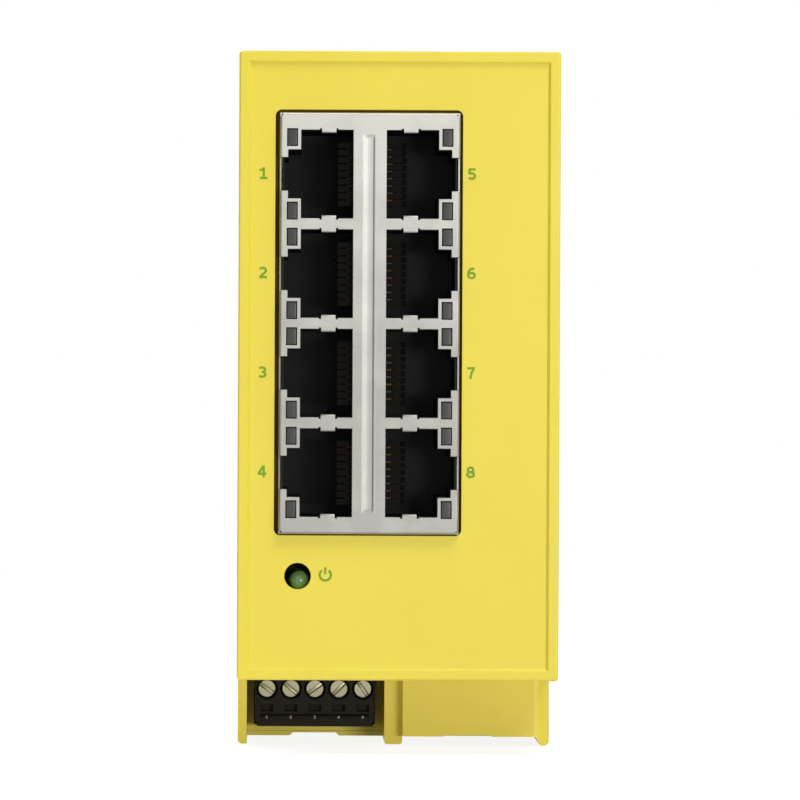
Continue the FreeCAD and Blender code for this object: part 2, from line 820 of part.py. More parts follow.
def port_outline(side, inset, tabs):
    """The stepped outline of the top port of one column, with the earth tabs of the shield."""
    near = f"port_near + {inset}"
    far = f"port_far - {inset}"
    key = f"key_far - {inset}"
    tip = "jack_width / 2 - sheet" if tabs else "insert_half - tip_wall"
    tall = f"(port_tall / 2 - {inset})"
    half = [(near, tall)]
    if tabs:
        half += [
            ("tab_near - tab_slit", tall),
            ("tab_near - tab_slit", f"{tall} + tab_slit_deep"),
            ("tab_near", f"{tall} + tab_slit_deep"),
            ("tab_near", f"{tall} - tab_reach"),
            ("tab_near + tab_wide", f"{tall} - tab_reach"),
            ("tab_near + tab_wide", f"{tall} + tab_slit_deep"),
            ("tab_near + tab_wide + tab_slit", f"{tall} + tab_slit_deep"),
            ("tab_near + tab_wide + tab_slit", tall),
        ]
    half += [
        (far, tall),
        (far, f"(key_tall / 2 - {inset})"),
        (key, f"(key_tall / 2 - {inset})"),
        (key, f"(key_tip_tall / 2 - {inset})"),
        (tip, f"(key_tip_tall / 2 - {inset})"),
    ]
    whole = [(u, f"first_port + {v}") for u, v in half]
    whole += [(u, f"first_port - ({v})") for u, v in reversed(half)]
    return [(f"jack_x + {side} * ({u})", z) for u, z in whole]


def lens_outlines(grow):
    """The four light windows beside the two ports of the top row, grown or shrunk by a gap."""
    outlines = []
    for side in (-1, 1):
        near = f"jack_x + {side} * (lens_near - {grow})"
        far = f"jack_x + {side} * (lens_near + lens_wide + {grow})"
        for end in (-1, 1):
            low = f"first_port + {end} * (lens_low - {grow})"
            high = f"first_port + {end} * (lens_low + lens_tall + {grow})"
            outlines.append(rect(near, low, far, high))
    return outlines


def jack_rect(inset):
    """The front view of the jack, drawn in by an inset."""
    return rect(
        f"jack_x - jack_width / 2 + {inset}",
        f"jack_z - jack_height / 2 + {inset}",
        f"jack_x + jack_width / 2 - ({inset})",
        f"jack_z + jack_height / 2 - ({inset})",
    )


def groove_rect(inset):
    """The front view of the groove pressed between the two columns of ports, drawn in by an inset."""
    return rect(
        f"jack_x - groove_wide / 2 + {inset}",
        f"jack_z - jack_height / 2 + groove_end + {inset}",
        f"jack_x + groove_wide / 2 - ({inset})",
        f"jack_z + jack_height / 2 - groove_end - ({inset})",
    )


def press_groove(body):
    """Press the round-bottomed groove into the shield's front, with the sheet carried behind it."""
    outline = groove_rect("0")
    pad(body, "XZ", "jack_front + sheet", "groove_back", [outline])
    low, high = [z for x, z in outline[1:3]]
    hollow = Circle("jack_x", "jack_front + groove_deep - groove_radius", "groove_radius")
    pocket(body, "XY", low, high, [hollow])


def make_shield():
    """The stamped shield, folded from one sheet, with stepped ports, light windows and a groove."""
    body = new_body("jack_shield")
    block = pad(body, "XZ", "jack_back", "jack_front", [jack_rect("0")])
    bends = straight_edges(block, "X", y=["jack_front"]) + straight_edges(block, "Z", y=["jack_front"])
    soften(body, "Fillet", block, bends, "bend_round")
    pocket(body, "XZ", f"jack_back + {OVER}", "jack_front + sheet", [jack_rect("sheet")])
    holes = [port_outline(side, "0", True) for side in (-1, 1)] + lens_outlines("0")
    cut = pocket(body, "XZ", "jack_front", "jack_front + sheet", holes)
    row_of(body, cut, "Z", "port_pitch", PORT_ROWS, True)
    tips = [
        rect(
            f"jack_x + {side} * (jack_width / 2 - sheet - fit)", "first_port - key_tip_tall / 2",
            f"jack_x + {side} * (jack_width / 2 + {OVER})", "first_port + key_tip_tall / 2",
        )
        for side in (-1, 1)
    ]
    opened = pocket(body, "XZ", "jack_front", "jack_front + tip_deep", tips)
    ports = row_of(body, opened, "Z", "port_pitch", PORT_ROWS, True)
    tab_ends = [
        f"first_port - {row} * port_pitch + {end} * (port_tall / 2 - tab_reach)"
        for row in range(PORT_ROWS)
        for end in (-1, 1)
    ]
    tab_middles = [f"jack_x + {side} * (tab_near + tab_wide / 2)" for side in (-1, 1)]
    tabs = straight_edges(ports, "X", x=tab_middles, y=["jack_front"], z=tab_ends)
    soften(body, "Fillet", ports, tabs, "tab_round")
    press_groove(body)
    corners = []
    for side in (-1, 1):
        for end in (-1, 1):
            out_x = f"jack_x + {side} * (jack_width / 2 + fit)"
            in_x = f"jack_x + {side} * (jack_width / 2 - corner_cut)"
            out_z = f"jack_z + {end} * (jack_height / 2 + fit)"
            in_z = f"jack_z + {end} * (jack_height / 2 - corner_cut)"
            corners.append(rect(in_x, in_z, out_x, out_z))
    pocket(body, "XZ", f"jack_front - {OVER}", "jack_front + 2 * sheet", corners)
    open_side = rect(
        "jack_right - sheet", "jack_z - jack_height / 2 + sheet",
        f"jack_right + {OVER}", "jack_z + jack_height / 2 - sheet",
    )
    pocket(body, "XZ", f"jack_back + {OVER}", "jack_front + flange_deep", [open_side])


def make_insert():
    """The black insert with eight stepped cavities, seated on the main board by two pegs."""
    body = new_body("jack_body")
    pad(body, "XZ", "jack_back", "insert_front", [jack_rect("sheet + fit")])
    low = "jack_z - jack_height / 2 + 2 * sheet"
    high = "jack_z + jack_height / 2 - 2 * sheet"
    foot = rect("jack_x + insert_half", low, "board_left", high)
    pad(body, "XZ", "jack_back", "jack_front + flange_deep + fit", [foot])
    pegs = [
        Circle("jack_back - jack_peg_back", f"jack_z + {end} * jack_peg_z", "jack_peg / 2")
        for end in (-1, 1)
    ]
    pad(body, "YZ", "board_left", "board_right + board_gap", pegs)
    cavities = [port_outline(side, "cavity_inset", False) for side in (-1, 1)]
    hollow = pocket(body, "XZ", "insert_front", "insert_front + cavity_depth", cavities)
    row_of(body, hollow, "Z", "port_pitch", PORT_ROWS, True)
    seats = pocket(body, "XZ", "insert_front", "insert_front + lens_deep", lens_outlines("0"))
    row_of(body, seats, "Z", "port_pitch", PORT_ROWS, True)
    pocket(body, "XZ", "insert_front", "groove_back + fit", [groove_rect("-fit")])


def make_lenses():
    """The light windows' lenses, flush with the shield's inside and seated in the insert."""
    body = new_body("led_lenses")
    back = "insert_front + lens_deep"
    lenses = pad(body, "XZ", back, "jack_front + fit", lens_outlines("-lens_gap"))
    row_of(body, lenses, "Z", "port_pitch", PORT_ROWS, True)


def make_contacts():
    """Folded contact wires: a leg on the cavity's wall, a bend at the mouth and a free sloping end."""
    body = new_body("jack_contacts")
    root = "port_near + cavity_inset + fit / 2"
    mouth = "insert_front + wire_set"
    profile = [
        (root, f"{mouth} + wire_leg"),
        (root, mouth),
        (f"{root} + 2 * wire_thick", mouth),
        (f"{root} + wire_rise", f"{mouth} + wire_free"),
        (f"{root} + wire_rise - wire_thick", f"{mouth} + wire_free"),
        (f"{root} + wire_thick", f"{mouth} + 3 * wire_thick"),
        (f"{root} + wire_thick", f"{mouth} + wire_leg"),
    ]
    pair = [[(f"jack_x + {side} * ({u})", y) for u, y in profile] for side in (-1, 1)]
    start = f"first_port + {WIRES - 1} / 2 * wire_pitch + wire_wide / 2"
    wires = pad(body, "XY", start, f"{start} - wire_wide", pair)
    rows = [("Z", "wire_pitch", WIRES, True), ("Z", "port_pitch", PORT_ROWS, True)]
    grid_of(body, wires, rows)


def make_main_board():
    """The upright board beside the jack, cut away over the terminal recess."""
    body = new_body("main_board")
    step = "chamber_back + wall + board_gap"
    back = "-back_wall - board_gap"
    high = "top - wall - fit - tongue_thick - board_gap"
    outline = [
        ("face_back + board_gap", "cover_floor + wall + board_gap"),
        (step, "cover_floor + wall + board_gap"),
        (step, "floor_top + board_gap"),
        (back, "floor_top + board_gap"),
        (back, high),
        ("face_back + board_gap", high),
    ]
    holes = [square(y, z, "pin_wide / 2 + fit") for y, z in POST_PLACES]
    peg_holes = [
        square("jack_back - jack_peg_back", f"jack_z + {end} * jack_peg_z", "jack_peg / 2 + fit")
        for end in (-1, 1)
    ]
    pad(body, "YZ", "board_left", "board_right", [outline] + holes + peg_holes)


def make_chip():
    """The switch chip: a flat body on four rows of leads."""
    body = new_body("switch_chip")
    half = "chip_wide / 2"
    leads = rect(
        f"chip_y - {half} - lead_reach", f"chip_z - {half} + lead_reach",
        f"chip_y + {half} + lead_reach", f"chip_z + {half} - lead_reach",
    )
    pad(body, "YZ", "board_left", "board_left - lead_thick", [leads])
    leads = rect(
        f"chip_y - {half} + lead_reach", f"chip_z - {half} - lead_reach",
        f"chip_y + {half} - lead_reach", f"chip_z + {half} + lead_reach",
    )
    pad(body, "YZ", "board_left", "board_left - lead_thick", [leads])
    case = square("chip_y", "chip_z", half)
    pad(body, "YZ", "board_left - lead_thick", "board_left - chip_thick", [case])


def make_crystal():
    """The clock's metal can below the chip."""
    body = new_body("oscillator")
    can = rect(
        "chip_y - crystal_long / 2", "crystal_z - crystal_wide / 2",
        "chip_y + crystal_long / 2", "crystal_z + crystal_wide / 2",
    )
    pad(body, "YZ", "board_left", "board_left - crystal_thick", [can])


def make_power_board():
    """The flat board over the terminal recess that carries the header and the status light."""
    body = new_body("power_board")
    outline = rect("-inner_half + fit", "face_back + power_front", "board_left - fit", "power_back")
    pad(body, "XY", "power_under", "power_over", [outline])


def make_link():
    """The pin strip that joins the power board to the main board."""
    body = new_body("board_link")
    half = "link_long / 2"
    edge = "board_left - fit"
    strip = rect(f"{edge} - link_wide", f"link_y - {half}", edge, f"link_y + {half}")
    pad(body, "XY", "power_over", "power_over + link_wide", [strip])
    start = f"link_y - {LINK_PINS - 1} / 2 * link_pitch"
    middle = "power_over + link_wide / 2"
    pin = square(start, middle, "link_pin / 2")
    pins = pad(body, "YZ", "board_left - fit", "board_left", [pin])
    row_of(body, pins, "Y", "link_pitch", LINK_PINS)


def make_power_parts():
    """The converter's coil, storage cans and regulator on the power board."""
    body = new_body("inductor")
    coil = square("coil_x", "coil_y", "coil_wide / 2")
    block = pad(body, "XY", "power_over", "power_over + coil_tall", [coil])
    soften(body, "Fillet", block, straight_edges(block, "Z"), "coil_round")

    body = new_body("capacitors")
    ring = Circle("can_x", "can_y", "can_wide / 2")
    can = pad(body, "XY", "power_over", "power_over + can_tall", [ring])
    row_of(body, can, "Y", "can_pitch", CANS)

    body = new_body("regulator")
    case = square("coil_x", "regulator_y", "regulator_long / 2")
    pad(body, "XY", "power_over", "power_over + regulator_tall", [case])


def make_light():
    """The round status light with its dome and flange, held behind the face by a stand."""
    body = new_body("power_led")
    radius = "light_wide / 2"
    section = [("0", "light_tip")]
    for angle in DOME_ANGLES:
        section.append((f"{radius} * cos({angle} deg)", f"light_tip + {radius} * (1 - sin({angle} deg))"))
    section += [
        (radius, "light_back - flange_thick"),
        ("light_flange / 2", "light_back - flange_thick"),
        ("light_flange / 2", "light_back"),
        ("0", "light_back"),
    ]
    revolve(body, "XY", "light_mid_z", section, along="light_mid_x")

    body = new_body("led_stand")
    half = "stand_wide / 2"
    column = rect(f"light_mid_x - {half}", "power_over", f"light_mid_x + {half}", f"light_mid_z + {half}")
    pad(body, "XZ", "light_back", "light_back + stand_deep", [column])


def make_header():
    """The shrouded header under the power board and its bent pins."""
    body = new_body("terminal_header")
    outer = rect("plug_x - header_half", "floor_top + fit", "plug_x + header_half", "power_under")
    pad(body, "XZ", "header_back", "header_front", [outer])
    mouth = rect(
        "plug_x - tail_wide / 2 - tail_gap", "tail_low - tail_gap",
        "plug_x + tail_wide / 2 + tail_gap", "tail_high + tail_gap",
    )
    pocket(body, "XZ", f"header_front - {OVER}", "plug_rear + tail_gap", [mouth])
    hole = square("pole_start", "pin_z", "pin_side / 2 + pin_hole / 2")
    bored = pocket(body, "XZ", "plug_rear", f"header_back + {OVER}", [hole])
    row_of(body, bored, "X", "pole_pitch", POLES)

    body = new_body("header_pins")
    half = "pin_side / 2"
    leg_back = "header_back + pin_back"
    bent = [
        ("header_front + pin_front", f"pin_z - {half}"),
        (leg_back, f"pin_z - {half}"),
        (leg_back, "power_under"),
        (f"{leg_back} - pin_side", "power_under"),
        (f"{leg_back} - pin_side", f"pin_z + {half}"),
        ("header_front + pin_front", f"pin_z + {half}"),
    ]
    pin = pad(body, "YZ", f"pole_start - {half}", f"pole_start + {half}", [bent])
    row_of(body, pin, "X", "pole_pitch", POLES)


def make_plug():
    """The five-way plug: screw wells in front, wire entries below and pin ways behind."""
    body = new_body("plug_body")
    block = rect("plug_x - plug_half", "plug_low", "plug_x + plug_half", "plug_high")
    pad(body, "XZ", "plug_shoulder", "plug_face", [block])
    tail = rect("plug_x - tail_wide / 2", "tail_low", "plug_x + tail_wide / 2", "tail_high")
    pad(body, "XZ", "plug_shoulder", "plug_rear", [tail])
    ledge = rect(
        "plug_x - plug_half + ledge_inset", "ledge_low",
        "plug_x + plug_half - ledge_inset", "ledge_low + ledge_tall",
    )
    strip = pad(body, "XZ", "plug_face", "plug_face - ledge_reach", [ledge])
    crest = straight_edges(strip, "X", y=["plug_face - ledge_reach"], z=["ledge_low + ledge_tall"])
    soften(body, "Chamfer", strip, crest, "ledge_bevel")
    steps = [
        rect(
            f"plug_x + {side} * (plug_half + fit)", f"plug_low - {OVER}",
            f"plug_x + {side} * (plug_half - plug_step)", "plug_low + plug_step_tall",
        )
        for side in (-1, 1)
    ]
    pocket(body, "XZ", f"plug_face - {OVER}", f"plug_shoulder + {OVER}", steps)
    well = Circle("pole_start", "screw_z", "head_wide / 2 + screw_gap")
    test = rect(
        "pole_start - test_wide / 2", "test_z - test_tall / 2",
        "pole_start + test_wide / 2", "test_z + test_tall / 2",
    )
    wells = pocket(body, "XZ", "plug_face", "head_back", [well])
    row_of(body, wells, "X", "pole_pitch", POLES)
    tests = pocket(body, "XZ", "plug_face", "plug_face + test_deep", [test])
    row_of(body, tests, "X", "pole_pitch", POLES)
    neck = square("pole_start", "screw_z", "shank_wide / 2 + screw_gap")
    necks = pocket(body, "XZ", "plug_face", f"cell_front + {OVER}", [neck])
    row_of(body, necks, "X", "pole_pitch", POLES)
    cell = rect("pole_start - cell_wide / 2", "cell_front", "pole_start + cell_wide / 2", "cell_rear")
    cells = pocket(body, "XY", "cell_low", "cell_high", [cell])
    row_of(body, cells, "X", "pole_pitch", POLES)
    entry_front = "strip_front + strip_thick"
    entry = rect(
        "pole_start - entry_wide / 2", entry_front,
        "pole_start + entry_wide / 2", f"{entry_front} + entry_deep",
    )
    entries = pocket(body, "XY", f"plug_low - {OVER}", f"cell_low + {OVER}", [entry])
    row_of(body, entries, "X", "pole_pitch", POLES)
    way = rect(
        "pole_start - strip_wide / 2 - fit", "pin_z - pin_side / 2 - fit",
        "pole_start + strip_wide / 2 + fit", "pin_z + pin_side / 2 + strip_gap + strip_thick + fit",
    )
    ways = pocket(body, "XZ", f"plug_rear + {OVER}", "cell_rear - fit", [way])
    row_of(body, ways, "X", "pole_pitch", POLES)


def make_plug_contacts():
    """The plug's bent strips: a bar in each cage, an arch over it and a tongue on the pin."""
    body = new_body("plug_contacts")
    tongue_low = "pin_z + pin_side / 2 + strip_gap"
    profile = [
        ("strip_front", "strip_low"),
        ("strip_front + strip_thick", "strip_low"),
        ("strip_front + strip_thick", "strip_high - strip_thick"),
        ("strip_back - strip_thick", "strip_high - strip_thick"),
        ("strip_back - strip_thick", tongue_low),
        ("plug_rear - fit", tongue_low),
        ("plug_rear - fit", f"{tongue_low} + strip_thick"),
        ("strip_back", f"{tongue_low} + strip_thick"),
        ("strip_back", "strip_high"),
        ("strip_front", "strip_high"),
    ]
    strip = pad(body, "YZ", "pole_start - strip_wide / 2", "pole_start + strip_wide / 2", [profile])
    row_of(body, strip, "X", "pole_pitch", POLES)


def make_clamp(pole):
    """A slotted clamp screw and the rising cage that it draws along."""
    middle = f"pole_start + {pole} * pole_pitch"
    body = new_body(f"clamp_screw_{pole + 1}")
    section = [
        ("0", "head_front"),
        ("head_wide / 2", "head_front"),
        ("head_wide / 2", "head_back"),
        ("shank_wide / 2", "head_back"),
        ("shank_wide / 2", "shank_tip"),
        ("0", "shank_tip"),
    ]
    revolve(body, "XY", "screw_z", section, along=middle)
    slot = rect("-head_wide", "-slot_wide / 2", "head_wide", "slot_wide / 2")
    pocket(
        body, "XZ", f"head_front - {OVER}", "head_front + slot_deep", [slot],
        along=middle, up="screw_z", turn=f"slot_turn_{TURNS[pole]}",
    )

    body = new_body(f"clamp_cage_{pole + 1}")
    half = "cage_wide / 2"
    outer = rect(
        f"{middle} - {half}", "cage_inner_front - cage_thick",
        f"{middle} + {half}", "cage_inner_back + cage_thick",
    )
    inner = rect(
        f"{middle} - {half} + cage_side", "cage_inner_front",
        f"{middle} + {half} - cage_side", "cage_inner_back",
    )
    pad(body, "XY", "cage_low", "cage_high", [outer, inner])
    bore = Circle(middle, "screw_z", "shank_wide / 2 + screw_gap")
    pocket(body, "XZ", f"cage_inner_front - cage_thick - {OVER}", "cage_inner_front + fit", [bore])


def write_parts():
    """Check every object and write one file for each node."""
    doc.recompute()
    for thing in doc.Objects:
        if "Invalid" in thing.State or "Error" in thing.State:
            raise RuntimeError(f"{thing.Name} didn't compute: {thing.State}")
    os.makedirs("parts", exist_ok=True)
    for body in nodes:
        if body.Shape.isNull() or not body.Shape.isValid():
            raise RuntimeError(f"{body.Label} has no valid shape")
        body.Shape.exportStep(f"parts/{body.Label}.step")


make_shell("left_shell", -1)
make_shell("right_shell", 1)
make_cover()
make_latch()
make_spring()
make_shield()
make_insert()
make_lenses()
make_contacts()
make_main_board()
make_chip()
make_crystal()
make_power_board()
make_link()
make_power_parts()
make_light()
make_header()
make_plug()
make_plug_contacts()
for pole_index in range(POLES):
    make_clamp(pole_index)
write_parts()
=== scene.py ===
"""Dresses the rail-mount network switch: finishes, a ring of painted shade in the jack's gap, print,
combs, bead, light, spring and studio.
"""

import logging
import math
from dataclasses import dataclass, replace
from enum import Enum

import bpy
import numpy as np
from mathutils import Matrix, Vector


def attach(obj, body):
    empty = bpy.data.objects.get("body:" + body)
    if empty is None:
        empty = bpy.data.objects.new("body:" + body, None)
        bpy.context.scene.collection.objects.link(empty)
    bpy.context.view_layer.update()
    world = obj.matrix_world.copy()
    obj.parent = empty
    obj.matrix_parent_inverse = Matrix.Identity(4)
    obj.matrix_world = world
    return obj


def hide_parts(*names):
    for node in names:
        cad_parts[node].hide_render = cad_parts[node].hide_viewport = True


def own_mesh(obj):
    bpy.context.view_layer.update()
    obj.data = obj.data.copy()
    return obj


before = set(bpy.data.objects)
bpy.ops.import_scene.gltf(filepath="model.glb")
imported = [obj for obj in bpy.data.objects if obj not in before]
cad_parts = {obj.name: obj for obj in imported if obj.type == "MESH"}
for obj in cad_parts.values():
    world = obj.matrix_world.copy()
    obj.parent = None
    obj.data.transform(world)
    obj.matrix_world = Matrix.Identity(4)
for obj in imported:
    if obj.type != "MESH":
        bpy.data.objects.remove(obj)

LOG = logging.getLogger("network_switch")
MM = 0.001
IMAGE_SIDE = 800
SOFT_DETAIL = 2.0
DRIFT_LOW, DRIFT_HIGH = 0.3, 0.7
SHARP_DEG = 30.0
FLAT_DEG = 0.5
WELD_M = 1e-6
BEVEL_STEPS = 2
EVEN_WEIGHT = 80
ARC_STEPS = 25

Colour = tuple[float, float, float]
Point = tuple[float, float, float]
Stop = tuple[float, Colour]
Socket = bpy.types.NodeSocket


class Axis(Enum):
    """A direction of the shared frame."""

    X = 0
    Y = 1
    Z = 2


class Body(Enum):
    """The bodies that new pieces ride on."""

    CASE = "case"
    PLUG = "plug"


class Slot(Enum):
    """Names of the record's material slots, passed to new pieces."""

    SHIELD = "shield_tin"
    INSERT = "insert_black"
    LIGHT = "light_green"
    SPRING = "spring_steel"
    PLUG = "plug_black"


class Graph:
    """The nodes of one material, with a surface shader that feeds its output."""

    def __init__(self, name: str) -> None:
        """Start an empty material with Object coordinates at hand.

        Args:
            name: the material's name.
        """
        self.material = bpy.data.materials.new(name)
        self.material.use_nodes = True
        self.tree = self.material.node_tree
        self.tree.nodes.clear()
        self.output = self.tree.nodes.new("ShaderNodeOutputMaterial")
        self.place = self.tree.nodes.new("ShaderNodeTexCoord").outputs["Object"]

    def add(self, kind: str, **values: object) -> bpy.types.Node:
        """Add a node and set or link its inputs.

        Args:
            kind: the node's type without its ShaderNode prefix.
            values: input names with _ for a space, each a value or an output socket.

        Returns:
            The new node.
        """
        node = self.tree.nodes.new(f"ShaderNode{kind}")
        for key, value in values.items():
            socket = node.inputs[key.replace("_", " ")]
            if isinstance(value, Socket):
                self.tree.links.new(value, socket)
            else:
                socket.default_value = value
        return node

    def noise(self, grain_mm: float, detail: float = 3.0, stretch: Point = (1, 1, 1)) -> Socket:
        """Noise on Object coordinates.

        Args:
            grain_mm: the size of its grain.
            detail: how many finer layers it has.
            stretch: a share for each axis, under one where the grain is drawn out.

        Returns:
            The noise, from 0 to 1.
        """
        scale = tuple(part / (grain_mm * MM) for part in stretch)
        spread = self.add("Mapping", Vector=self.place, Scale=scale)
        cloud = self.add("TexNoise", Vector=spread.outputs[0], Scale=1.0, Detail=detail)
        return cloud.outputs["Fac"]

    def ramp(self, fac: Socket, low: Stop, high: Stop) -> Socket:
        """Two colours at places along a value from 0 to 1, with an even blend between them.

        Args:
            fac: the value.
            low: the lower place and its colour.
            high: the upper place and its colour.

        Returns:
            The colour.
        """
        node = self.add("ValToRGB", Fac=fac)
        for mark, (place, colour) in zip(node.color_ramp.elements, (low, high)):
            mark.position = place
            mark.color = (*colour, 1.0)
        return node.outputs["Color"]

    def span(self, fac: Socket, low: float, high: float) -> Socket:
        """A value from 0 to 1 spread between two numbers."""
        return self.add("MapRange", Value=fac, To_Min=low, To_Max=high).outputs["Result"]

    def along(self, axis: Axis, start_mm: float, end_mm: float) -> Socket:
        """A value that rises evenly between two places on an axis.

        Args:
            axis: a direction of the shared frame.
            start_mm: where the value is 0.
            end_mm: where the value is 1.

        Returns:
            The value.
        """
        parts = self.add("SeparateXYZ", Vector=self.place)
        rise = self.add(
            "MapRange", Value=parts.outputs[axis.value], From_Min=start_mm * MM, From_Max=end_mm * MM
        )
        return rise.outputs["Result"]

    def bump(self, height: Socket, depth_mm: float) -> Socket:
        """A surface relief of a depth in millimetres."""
        node = self.add("Bump", Height=height, Strength=1.0, Distance=depth_mm * MM)
        return node.outputs["Normal"]

    def surface(self, **values: object) -> bpy.types.Material:
        """Close the graph with a Principled shader.

        Args:
            values: the shader's inputs with _ for a space.

        Returns:
            The finished material.
        """
        shader = self.add("BsdfPrincipled", **values)
        self.tree.links.new(shader.outputs[0], self.output.inputs["Surface"])
        return self.material


@dataclass(frozen=True)
class MouldedPlastic:
    """Injection-moulded plastic: a spark-eroded grain, a faint flow mottle and a soft gloss."""

    name: str
    colour: Colour
    shade: Colour
    roughness: float = 0.42
    rough_spread: float = 0.06
    grain_mm: float = 0.16
    grain_depth_mm: float = 0.006
    mottle_mm: float = 14.0
    gloss: float = 0.4

    def material(self) -> bpy.types.Material:
        """Colour drifts with a broad noise, and a fine noise gives roughness and relief.

        Returns:
            The plastic's material.
        """
        graph = Graph(self.name)
        mottle = graph.noise(self.mottle_mm, SOFT_DETAIL)
        grain = graph.noise(self.grain_mm, SOFT_DETAIL)
        least, most = self.roughness - self.rough_spread, self.roughness + self.rough_spread
        return graph.surface(
            Base_Color=graph.ramp(mottle, (DRIFT_LOW, self.shade), (DRIFT_HIGH, self.colour)),
            Roughness=graph.span(grain, least, most),
            Specular_IOR_Level=self.gloss,
            Normal=graph.bump(grain, self.grain_depth_mm),
        )


@dataclass(frozen=True)
class PlatedMetal:
    """Rolled and plated metal: streaks along the rolling direction over painted light, which rises from
    the shade colour to the full colour along an axis.
    """

    name: str
    colour: Colour
    shade: Colour
    roughness: float = 0.3
    rough_spread: float = 0.08
    streak_mm: float = 0.12
    streak_run: float = 0.04
    streak_detail: float = 4.0
    streak_axis: Axis = Axis.Z
    relief_mm: float = 0.002
    # Painted light: from the shade colour at the first place to the full colour at the second, along this
    # axis; by default lighter upwards.
    painted_light_axis: Axis = Axis.Z
    painted_light_mm: tuple[float, float] = (-20.0, 40.0)
    cloud_mm: float = 5.0
    cloud: float = 0.15
    metallic: float = 1.0

    def material(self) -> bpy.types.Material:
        """Painted light runs from the shade colour to the full colour along an axis, with soft clouds of
        random tone, and streaks set the gloss and the relief.

        Returns:
            The metal's material.
        """
        graph = Graph(self.name)
        stretch = tuple(self.streak_run if axis is self.streak_axis else 1.0 for axis in Axis)
        streaks = graph.noise(self.streak_mm, self.streak_detail, stretch)
        drift = graph.span(graph.noise(self.cloud_mm), -self.cloud, self.cloud)
        # The painted light along the axis, with the random clouds added.
        tone = graph.add("Math", Value=graph.along(self.painted_light_axis, *self.painted_light_mm))
        tone.operation = "ADD"
        graph.tree.links.new(drift, tone.inputs[1])
        least, most = self.roughness - self.rough_spread, self.roughness + self.rough_spread
        return graph.surface(
            Base_Color=graph.ramp(tone.outputs[0], (0.0, self.shade), (1.0, self.colour)),
            Metallic=self.metallic,
            Roughness=graph.span(streaks, least, most),
            Normal=graph.bump(streaks, self.relief_mm),
        )


@dataclass(frozen=True)
class TintedLens:
    """Clear plastic with a tint: light goes in, and a faint haze breaks the gloss."""

    name: str
    colour: Colour
    shade: Colour
    clearness: float = 0.3
    roughness: float = 0.12
    rough_spread: float = 0.05
    haze_mm: float = 0.4
    refraction: float = 1.49

    def material(self) -> bpy.types.Material:
        """A part of the light passes through, and the tint drifts with the haze.

        Returns:
            The lens's material.
        """
        graph = Graph(self.name)
        haze = graph.noise(self.haze_mm, SOFT_DETAIL)
        least, most = self.roughness - self.rough_spread, self.roughness + self.rough_spread
        return graph.surface(
            Base_Color=graph.ramp(haze, (DRIFT_LOW, self.shade), (DRIFT_HIGH, self.colour)),
            Roughness=graph.span(haze, least, most),
            Transmission_Weight=self.clearness,
            IOR=self.refraction,
        )


@dataclass(frozen=True)
class CircuitBoard:
    """Solder mask over copper: square tracks show as a lighter tone."""

    name: str
    colour: Colour
    track: Colour
    track_mm: float = 2.4
    track_edge: tuple[float, float] = (0.42, 0.5)
    jitter: float = 0.8
    roughness: tuple[float, float] = (0.28, 0.4)
    relief_mm: float = 0.01

    def material(self) -> bpy.types.Material:
        """Cells of a Manhattan Voronoi pattern mark the tracks, and their edge is a small step.

        Returns:
            The board's material.
        """
        graph = Graph(self.name)
        spread = graph.add("Mapping", Vector=graph.place, Scale=(1 / (self.track_mm * MM),) * 3)
        cells = graph.add("TexVoronoi", Vector=spread.outputs[0], Scale=1.0, Randomness=self.jitter)
        cells.distance = "MANHATTAN"
        edge = cells.outputs["Distance"]
        inside, outside = self.track_edge
        return graph.surface(
            Base_Color=graph.ramp(edge, (inside, self.track), (outside, self.colour)),
            Roughness=graph.span(edge, *self.roughness),
            Normal=graph.bump(edge, self.relief_mm),
        )


@dataclass(frozen=True)
class PadInk:
    """Pad-printed ink: a thin matt film that lets a little of the grain through."""

    name: str
    colour: Colour
    worn: Colour
    gloss: float = 0.2
    speck_mm: float = 0.18
    speck_edge: tuple[float, float] = (0.25, 0.55)
    roughness: tuple[float, float] = (0.4, 0.55)

    def material(self) -> bpy.types.Material:
        """The ink thins in fine specks.

        Returns:
            The ink's material.
        """
        graph = Graph(self.name)
        specks = graph.noise(self.speck_mm)
        thin, full = self.speck_edge
        return graph.surface(
            Base_Color=graph.ramp(specks, (thin, self.worn), (full, self.colour)),
            Roughness=graph.span(specks, *self.roughness),
            Specular_IOR_Level=self.gloss,
        )


YELLOW = MouldedPlastic("yellow_case", (0.839, 0.695, 0.056), (0.822, 0.678, 0.051), gloss=0.5)
# Dark brown for the ring in the jack's gap: painted shade standing in for the window's yellow wall in
# shadow.
GAP_SHADE_BROWN = MouldedPlastic("gap_shade_brown", (0.125, 0.070, 0.004), (0.105, 0.058, 0.003), 0.8, gloss=0.05)
LATCH_BLACK = MouldedPlastic("latch_black", (0.018, 0.018, 0.017), (0.024, 0.024, 0.023))
INSERT_BLACK = MouldedPlastic(
    "insert_black", (0.0068, 0.0068, 0.0058), (0.0085, 0.0085, 0.0074), roughness=0.40, gloss=0.11
)
# Half as light as the insert's black: painted shade on the comb's ribs deep in the ports.
COMB_SHADE_BLACK = MouldedPlastic(
    "comb_shade_black", (0.0034, 0.0033, 0.0027), (0.0028, 0.0027, 0.0022), roughness=0.55, gloss=0.05
)
PLUG_BLACK = MouldedPlastic(
    "plug_black", (0.0105, 0.0088, 0.0048), (0.0090, 0.0074, 0.0038), roughness=0.5, gloss=0.1
)
CHIP_BLACK = MouldedPlastic("chip_black", (0.020, 0.020, 0.021), (0.028, 0.028, 0.028), roughness=0.55)
COIL_GREY = MouldedPlastic("coil_grey", (0.060, 0.060, 0.060), (0.080, 0.080, 0.080), roughness=0.6)
